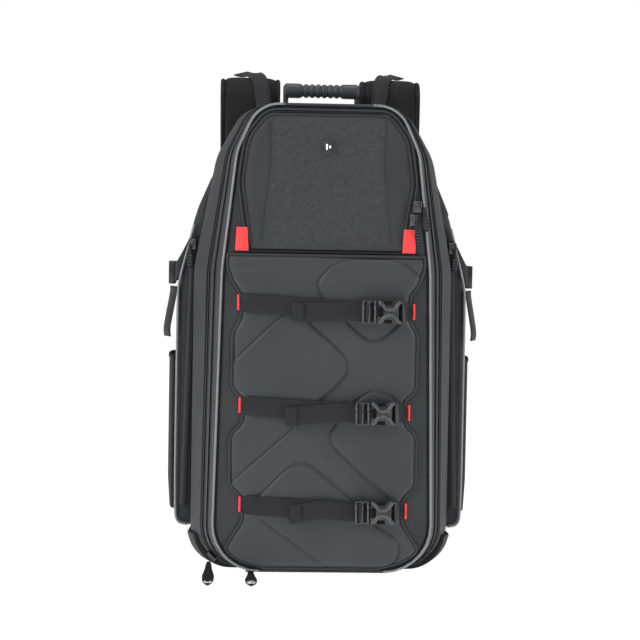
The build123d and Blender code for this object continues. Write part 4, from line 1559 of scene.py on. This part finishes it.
def puffed(obj: bpy.types.Object, finish: Finish, body: str | None, *nodes: str, voxel: float = 5.0,
           pressure: float = 4.0, most: float = 2.5, frames: int = 18) -> bpy.types.Object:
    """Cushion whose skin is blown up by a cloth simulation, then kept within a few millimetres of its shape.

    Args:
        obj: Closed shape of the cushion, which is replaced.
        finish: Finish of its cover.
        body: Body it rides on.
        nodes: CAD nodes that it replaces.
        voxel: Size of the mesh's squares in millimetres.
        pressure: Pressure inside.
        most: Furthest that a spot may move in millimetres.
        frames: Frames simulated.
    """
    scene = bpy.context.scene
    bpy.context.view_layer.objects.active = obj
    remesh = obj.modifiers.new("Remesh", "REMESH")
    remesh.mode, remesh.voxel_size, remesh.use_smooth_shade = "VOXEL", voxel * MM, True
    bpy.context.view_layer.update()
    start = bpy.data.meshes.new_from_object(obj.evaluated_get(bpy.context.evaluated_depsgraph_get()))
    obj.modifiers.clear()
    obj.data = start
    before = np.empty(len(start.vertices) * 3)
    start.vertices.foreach_get("co", before)
    cloth = obj.modifiers.new("Cloth", "CLOTH")
    cloth.settings.use_pressure = True
    cloth.settings.uniform_pressure_force = pressure
    cloth.settings.effector_weights.gravity = 0.0
    cloth.settings.tension_stiffness = 12
    cloth.settings.compression_stiffness = 12
    cloth.settings.mass = 0.25
    scene.frame_start, scene.frame_end = 1, frames
    for frame in range(1, frames + 1):
        scene.frame_set(frame)
    blown = bpy.data.meshes.new_from_object(obj.evaluated_get(bpy.context.evaluated_depsgraph_get()))
    after = np.empty(len(blown.vertices) * 3)
    blown.vertices.foreach_get("co", after)
    obj.modifiers.clear()
    scene.frame_set(1)
    move = (after - before).reshape(-1, 3)
    length = np.linalg.norm(move, axis=1, keepdims=True)
    limit = np.tanh(length / (most * MM)) * most * MM
    move = np.where(length > 1e-9, move / np.maximum(length, 1e-9) * limit, 0.0)
    start.vertices.foreach_set("co", (before.reshape(-1, 3) + move).ravel())
    fine = obj.modifiers.new("Fine", "SUBSURF")
    fine.levels = fine.render_levels = 1
    bpy.context.view_layer.update()
    mesh = bpy.data.meshes.new_from_object(obj.evaluated_get(bpy.context.evaluated_depsgraph_get()))
    obj.modifiers.clear()
    obj.data = mesh
    mesh.name = obj.name
    mesh.polygons.foreach_set("use_smooth", [True] * len(mesh.polygons))
    dress(obj, finish, body, *nodes)
    return obj


def band(name: str, line: Sequence[tuple[Point3, float]], thickness: float,
         flat: float = 0.0) -> bpy.types.Object:
    """Padded band along a line, with its own width at each point.

    Args:
        name: Object's name.
        line: ((x, y, z), width) along the band, in millimetres.
        thickness: Thickness of the band.
        flat: How much thinner it is at its edges.
    """
    path = smooth_line([(*point, width) for point, width in line], 3)
    points, faces = [], []
    share = np.linspace(-1, 1, 9)
    size = 2 * len(share)
    for index, (x, y, z, width) in enumerate(path):
        before, after = Vector(path[max(index - 1, 0)][:3]), Vector(path[min(index + 1, len(path) - 1)][:3])
        normal = (after - before).cross(X_AXIS).normalized()
        here = Vector((x, y, z))
        for side, steps in ((1, share), (-1, share[::-1])):
            for step in steps:
                lift = thickness / 2 * (1 - flat * step ** 4)
                points.append(here + Vector((step * width / 2, 0, 0)) + normal * lift * side)
    for row in range(len(path) - 1):
        for step in range(size):
            a, b = row * size + step, row * size + (step + 1) % size
            faces.append((a, b, b + size, a + size))
    faces.append(tuple(range(size)))
    faces.append(tuple(range((len(path) - 1) * size, len(path) * size)))
    return make_mesh(name, points, faces)


@dataclass
class ShoulderStrap:
    """One padded shoulder strap with its load lifter, lower webbing and chest strap half."""

    side: Side
    thickness: float = 12.0

    def centre_line(self) -> list[tuple[Point3, float]]:
        """Middle of the pad with its width, from its root on the back to its lower end."""
        x = self.side.value * STRAP_X
        return [((x, 102.2, 434), 62), ((x, 102.2, 480), 64), ((x, 103, 524), 65), ((x, 112, 539), 65),
                ((x, 128, 541.5), 65), ((x, 152, 540), 65), ((x, 164, 524), 65), ((x, 165, 460), 64),
                ((x, 162, 390), 62), ((x, 146, 300), 58), ((x, 131, 232), 50)]

    def bend(self, obj: bpy.types.Object) -> None:
        """Bake the piece's placement into its mesh."""
        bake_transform(obj)

    def pad(self) -> None:
        """Foam pad over the arch, and the tape that binds both its edges."""
        label = self.side.label
        line = self.centre_line()
        pad = band(f"shoulder_pad_{label}", line, self.thickness - 3.0, flat=0.35)
        nodes = [f"shoulder_strap_{label}"] + (["strap_roots"] if self.side is Side.LEFT else [])
        pad = puffed(pad, STRAP_FACE, None, *nodes, most=1.6)
        self.bend(pad)
        for edge, sign in (("inner", -1), ("outer", 1)):
            path = [Vector((x + sign * width / 2 * 0.985, y, z)) for x, y, z, width in
                    smooth_line([(*point, width) for point, width in line], 3)]
            rim = tube(f"shoulder_rim_{edge}_{label}", line_through(path, 4), 5.5, 5.5, sides=8,
                       up=X_AXIS)
            dress(rim, STRAP_MESH, None)
            self.bend(rim)

    def lifter(self) -> None:
        """Load lifter: webbing from the top of the back up over the pad, with its loose tip."""
        sign, label = self.side.value, self.side.label
        points = [(64, 86, 499), (66, 92, 512), (70, 103, 540), (76, 118, ARCH_TOP + 1.2),
                  (82, 140, ARCH_TOP + 1.6), (88, 152, ARCH_TOP + 3.0), (93, 158, ARCH_TOP + 5.0)]
        path = [Vector((sign * x, y, z)) for x, y, z in smooth_line(points)]
        strap = ribbon(f"load_lifter_{label}", path, 18, 1.6, across=Vector((1, 0, sign * -0.25)))
        dress(strap, WEBBING, None)
        self.bend(strap)

    def holes(self) -> None:
        """Rows of perforations in the pad's outer face, made as dark discs of painted shade."""
        sign, label = self.side.value, self.side.label
        lines = []
        for shift in (-18, -9, 0, 9, 18):
            x = sign * STRAP_X + shift
            lines.append([Vector((x, 159.4, 512)), Vector((x, 160.0, 470)), Vector((x, 158.0, 400))])
        PERFORATIONS.along(f"strap_holes_{label}", lines, HOLE_SHADE, f"shoulder_{label}", up=Y_AXIS)

    def webbing(self) -> None:
        """Lower webbing, the ladder lock under the pad and the chest strap half."""
        sign, label = self.side.value, self.side.label
        low, high = node_box(f"lower_strap_{label}")
        middle = (low.x + high.x) / 2
        path = [Vector((sign * 87, high.y + 1.5, high.z + 16)), Vector((sign * 95, high.y - 3, high.z - 12)),
                Vector((middle, (low.y + high.y) / 2, (low.z + high.z) / 2)),
                Vector((middle, low.y + 1, low.z + 1))]
        strap = ribbon(f"lower_webbing_{label}", smooth_line(path), 25, 1.8, across=X_AXIS)
        place = (sign * 85.5, high.y + 5.5, high.z + 17)
        lock = make_block(f"ladder_lock_{label}", place, (31, 5.5, 21), 2.0)
        dress(lock, BUCKLE, f"shoulder_{label}")
        dress(strap, WEBBING, f"lower_{label}", f"lower_strap_{label}")
        low, high = node_box(f"chest_strap_{label}")
        inner, outer = (low.x, high.x) if sign > 0 else (high.x, low.x)
        path = [Vector((outer, low.y + 1.4, 382)), Vector(((inner + outer) / 2, low.y + 1.9, 382)),
                Vector((inner + sign * 16, low.y + 1.4, 382))]
        chest = ribbon(f"chest_webbing_{label}", smooth_line(path), 19, 1.6)
        dress(chest, WEBBING, f"chest_{label}", f"chest_strap_{label}")
        buckle = make_block(f"chest_buckle_{label}", (inner + sign * 9, low.y + 1.8, 382), (18, 3.2, 18), 1.4)
        dress(buckle, BUCKLE, f"chest_{label}")

    def build(self) -> None:
        """Make every piece of the strap."""
        self.pad()
        self.lifter()
        self.holes()
        self.webbing()


def make_block(name: str, centre: Point3, size: Point3, radius: float) -> bpy.types.Object:
    """Box with rounded edges.

    Args:
        name: Object's name.
        centre: Middle in millimetres.
        size: Width, depth and height.
        radius: Radius of its edges.
    """
    mesh = bpy.data.meshes.new(name)
    work = bmesh.new()
    bmesh.ops.create_cube(work, size=1.0)
    work.transform(Matrix.Translation(Vector(centre) * MM) @ Matrix.Diagonal((*(Vector(size) * MM), 1.0)))
    bmesh.ops.bevel(work, geom=work.edges[:], offset=radius * MM, segments=3, affect="EDGES", profile=0.5)
    work.to_mesh(mesh)
    work.free()
    mesh.polygons.foreach_set("use_smooth", [True] * len(mesh.polygons))
    obj = bpy.data.objects.new(name, mesh)
    bpy.context.collection.objects.link(obj)
    return obj


@dataclass
class BackPanel:
    """Cushions, yoke and webbing anchors on the back."""

    def cushion(self, level: str, side: Side) -> None:
        """One padded cushion with a mesh cover."""
        low, high = node_box(f"back_pads_{level}")
        half = (high.x - 12.0) / 2
        centre = (side.value * (12.0 + half), (low.y + high.y) / 2 + 0.2, (low.z + high.z) / 2)
        size = (2 * half - 3, high.y - low.y - 3.4, high.z - low.z - 3)
        block = make_block(f"back_cushion_{level}_{side.label}", centre, size, 7.0)
        nodes = [f"back_pads_{level}"] if side is Side.LEFT else []
        puffed(block, MESH, Body.PACK, *nodes, most=1.5)

    def build(self) -> None:
        """Make every piece on the back."""
        for level in ("upper", "lower"):
            for side in Side:
                self.cushion(level, side)
        dress(polished("shoulder_yoke", 1.4), BASE_FABRIC, Body.PACK, "shoulder_yoke")
        dress(polished("webbing_anchors", 0.4), WEBBING_PLAIN, Body.PACK, "webbing_anchors")
        edge = body_ring(BACK_Y - 3.0, -2.2)
        path = line_through(edge, 3, closed=True)
        dress(tube("back_binding", path, 4.2, closed=True, sides=8), BINDING_AND_SHADE, Body.PACK)


@dataclass
class GrabHandle:
    """Handle with smooth cuffs and a ribbed grip."""

    pitch: float = 7.0

    def build(self) -> None:
        """Ribbed grip with smooth cuffs, hung on two webbing legs."""
        low, high = node_box("grab_handle")
        y, bar = (low.y + high.y) / 2, high.z - 8.6
        half, pivot = high.x - 6.8, low.z + 6.8
        path = line_through([Vector((-half - 3, y, bar)), Vector((half + 3, y, bar))], 0.6)
        grip = tube("handle_grip", path, 15.0, 17.0, sides=24, up=Z_AXIS)
        centre = Vector((0, y, bar)) * MM
        for vertex in grip.data.vertices:
            x = vertex.co.x / MM
            swell = 1.0 - 0.42 * max(0.0, abs(x) - half) / 3
            if abs(x) < 3.5 * self.pitch:
                swell = 0.94 - 0.2 * (0.5 + 0.5 * math.cos(2 * math.pi * x / self.pitch)) ** 2
            spoke = Vector((0, vertex.co.y - centre.y, vertex.co.z - centre.z))
            vertex.co -= spoke * (1.0 - swell)
        dress(grip, HANDLE_RUBBER, Body.HANDLE, "grab_handle")
        for sign, label in ((-1, "left"), (1, "right")):
            leg = [Vector((sign * half, y, pivot - 3)), Vector((sign * half, y, bar - 3))]
            strip = tube(f"handle_leg_{label}", leg, 9.0, 6.0, sides=16, up=X_AXIS)
            dress(strip, RUBBER, Body.HANDLE)


# ---------------------------------------------------------------------------------------------- studio


@dataclass
class Studio:
    """Pale floor, soft lights, bright surroundings and the camera."""

    camera_place: Point3 = (-96.0, -2000.0, 365.0)
    azimuth: float = -2.72
    elevation: float = 2.77
    roll: float = 1.03
    lens: float = 101.4
    ambient: float = 0.28

    def floor(self) -> None:
        """Large plain floor."""
        size = 6000.0
        floor = make_mesh("studio_floor", [(-size, -size, -0.3), (size, -size, -0.3), (size, size, -0.3),
                                           (-size, size, -0.3)], [(0, 1, 2, 3)])
        material = bpy.data.materials.new("StudioFloor")
        material.use_nodes = True
        shader = material.node_tree.nodes["Principled BSDF"]
        shader.inputs["Base Color"].default_value = (0.9, 0.9, 0.9, 1)
        shader.inputs["Roughness"].default_value = 0.7
        shader.inputs["Specular IOR Level"].default_value = 0.1
        shader.inputs["Emission Color"].default_value = (1, 1, 1, 1)
        shader.inputs["Emission Strength"].default_value = 0.9
        # The camera sees mostly through the floor, so a lid opened past its plane stays in view.
        sheet = Sheet(material.node_tree)
        seen = sheet.node("ShaderNodeLightPath").outputs["Is Camera Ray"]
        mix = sheet.node("ShaderNodeMixShader")
        sheet.wire(sheet.math("MULTIPLY", seen, 0.8), mix.inputs["Fac"])
        sheet.wire(shader.outputs[0], mix.inputs[1])
        sheet.wire(sheet.node("ShaderNodeBsdfTransparent").outputs[0], mix.inputs[2])
        sheet.wire(mix.outputs[0], material.node_tree.nodes["Material Output"].inputs["Surface"])
        floor.data.materials.append(material)

    def light(self, name: str, place: Point3, power: float, size: float) -> None:
        """Square soft light aimed at the middle of the pack."""
        data = bpy.data.lights.new(name, "AREA")
        data.energy, data.size = power, size
        light = bpy.data.objects.new(name, data)
        light.location = Vector(place)
        light.rotation_euler = (Vector((0, 0, 0.27)) - light.location).to_track_quat("-Z", "Y").to_euler()
        bpy.context.collection.objects.link(light)

    def surroundings(self) -> None:
        """White world."""
        world = bpy.data.worlds.new("Studio")
        world.use_nodes = True
        sheet = Sheet(world.node_tree)
        seen = sheet.node("ShaderNodeLightPath").outputs["Is Camera Ray"]
        background = world.node_tree.nodes["Background"]
        background.inputs["Color"].default_value = (1, 1, 1, 1)
        sheet.wire(sheet.span(seen, 0.0, 1.0, self.ambient, 1.0), background.inputs["Strength"])
        bpy.context.scene.world = world
        bpy.context.scene.view_settings.view_transform = "Standard"

    def camera(self) -> None:
        """Camera nearly level with the middle of the pack, turned a little."""
        a, e, r = (math.radians(value) for value in (self.azimuth, self.elevation, self.roll))
        ahead = Vector((-math.sin(a) * math.cos(e), math.cos(a) * math.cos(e), -math.sin(e)))
        right = Vector((math.cos(a), math.sin(a), 0))
        up = right.cross(ahead)
        right, up = right * math.cos(r) + up * math.sin(r), up * math.cos(r) - right * math.sin(r)
        data = bpy.data.cameras.new("Camera")
        data.lens, data.sensor_width = self.lens, 36.0
        data.clip_start, data.clip_end = 0.05, 50.0
        camera = bpy.data.objects.new("Camera", data)
        turn = Matrix((right, up, -ahead)).transposed().to_4x4()
        camera.matrix_world = Matrix.Translation(Vector(self.camera_place) * MM) @ turn
        bpy.context.collection.objects.link(camera)
        bpy.context.scene.camera = camera

    def build(self) -> None:
        """Set up everything that isn't part of the pack."""
        self.floor()
        self.surroundings()
        self.light("KeyLight", (-1.9, -0.9, 1.5), 42.0, 0.9)
        self.light("FrontLight", (-0.4, -2.6, 1.6), 14.0, 1.6)
        self.light("SideLight", (2.2, -0.5, 0.9), 26.0, 0.9)
        self.light("TopLight", (0.1, -0.2, 2.2), 22.0, 1.0)
        self.camera()


FRONT_STRAPS = [FrontStrap("top", 283.0, 60.5, 92.0, -35.0, slant=7.5, sag=1.5, arch=0.0),
                FrontStrap("middle", 176.0, 55.5, 88.8, -40.0, slant=6.0, sag=4.5, arch=1.0),
                FrontStrap("bottom", 71.0, 57.0, 87.3, -34.0, slant=5.8, sag=3.0, arch=4.5)]


def write_sizes() -> None:
    """Bring the view layer up to date."""
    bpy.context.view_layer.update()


def main() -> None:
    """Build the whole scene."""
    logging.basicConfig(level=logging.INFO, format="%(name)s: %(message)s")
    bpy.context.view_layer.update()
    MainBody().build()
    LidBody().build()
    QuiltedPanel().build()
    TopPocket().build()
    for strap in FRONT_STRAPS:
        strap.build()
    for label in ("base", "corner"):
        MainPull(label).build()
    for side in Side:
        SidePocket(side).build()
        ShoulderStrap(side).build()
    dress(polished("side_buckle_females", 1.1), BUCKLE, Body.PACK, "side_buckle_females")
    BackPanel().build()
    GrabHandle().build()
    Studio().build()
    write_sizes()


if __name__ == "__main__":
    main()
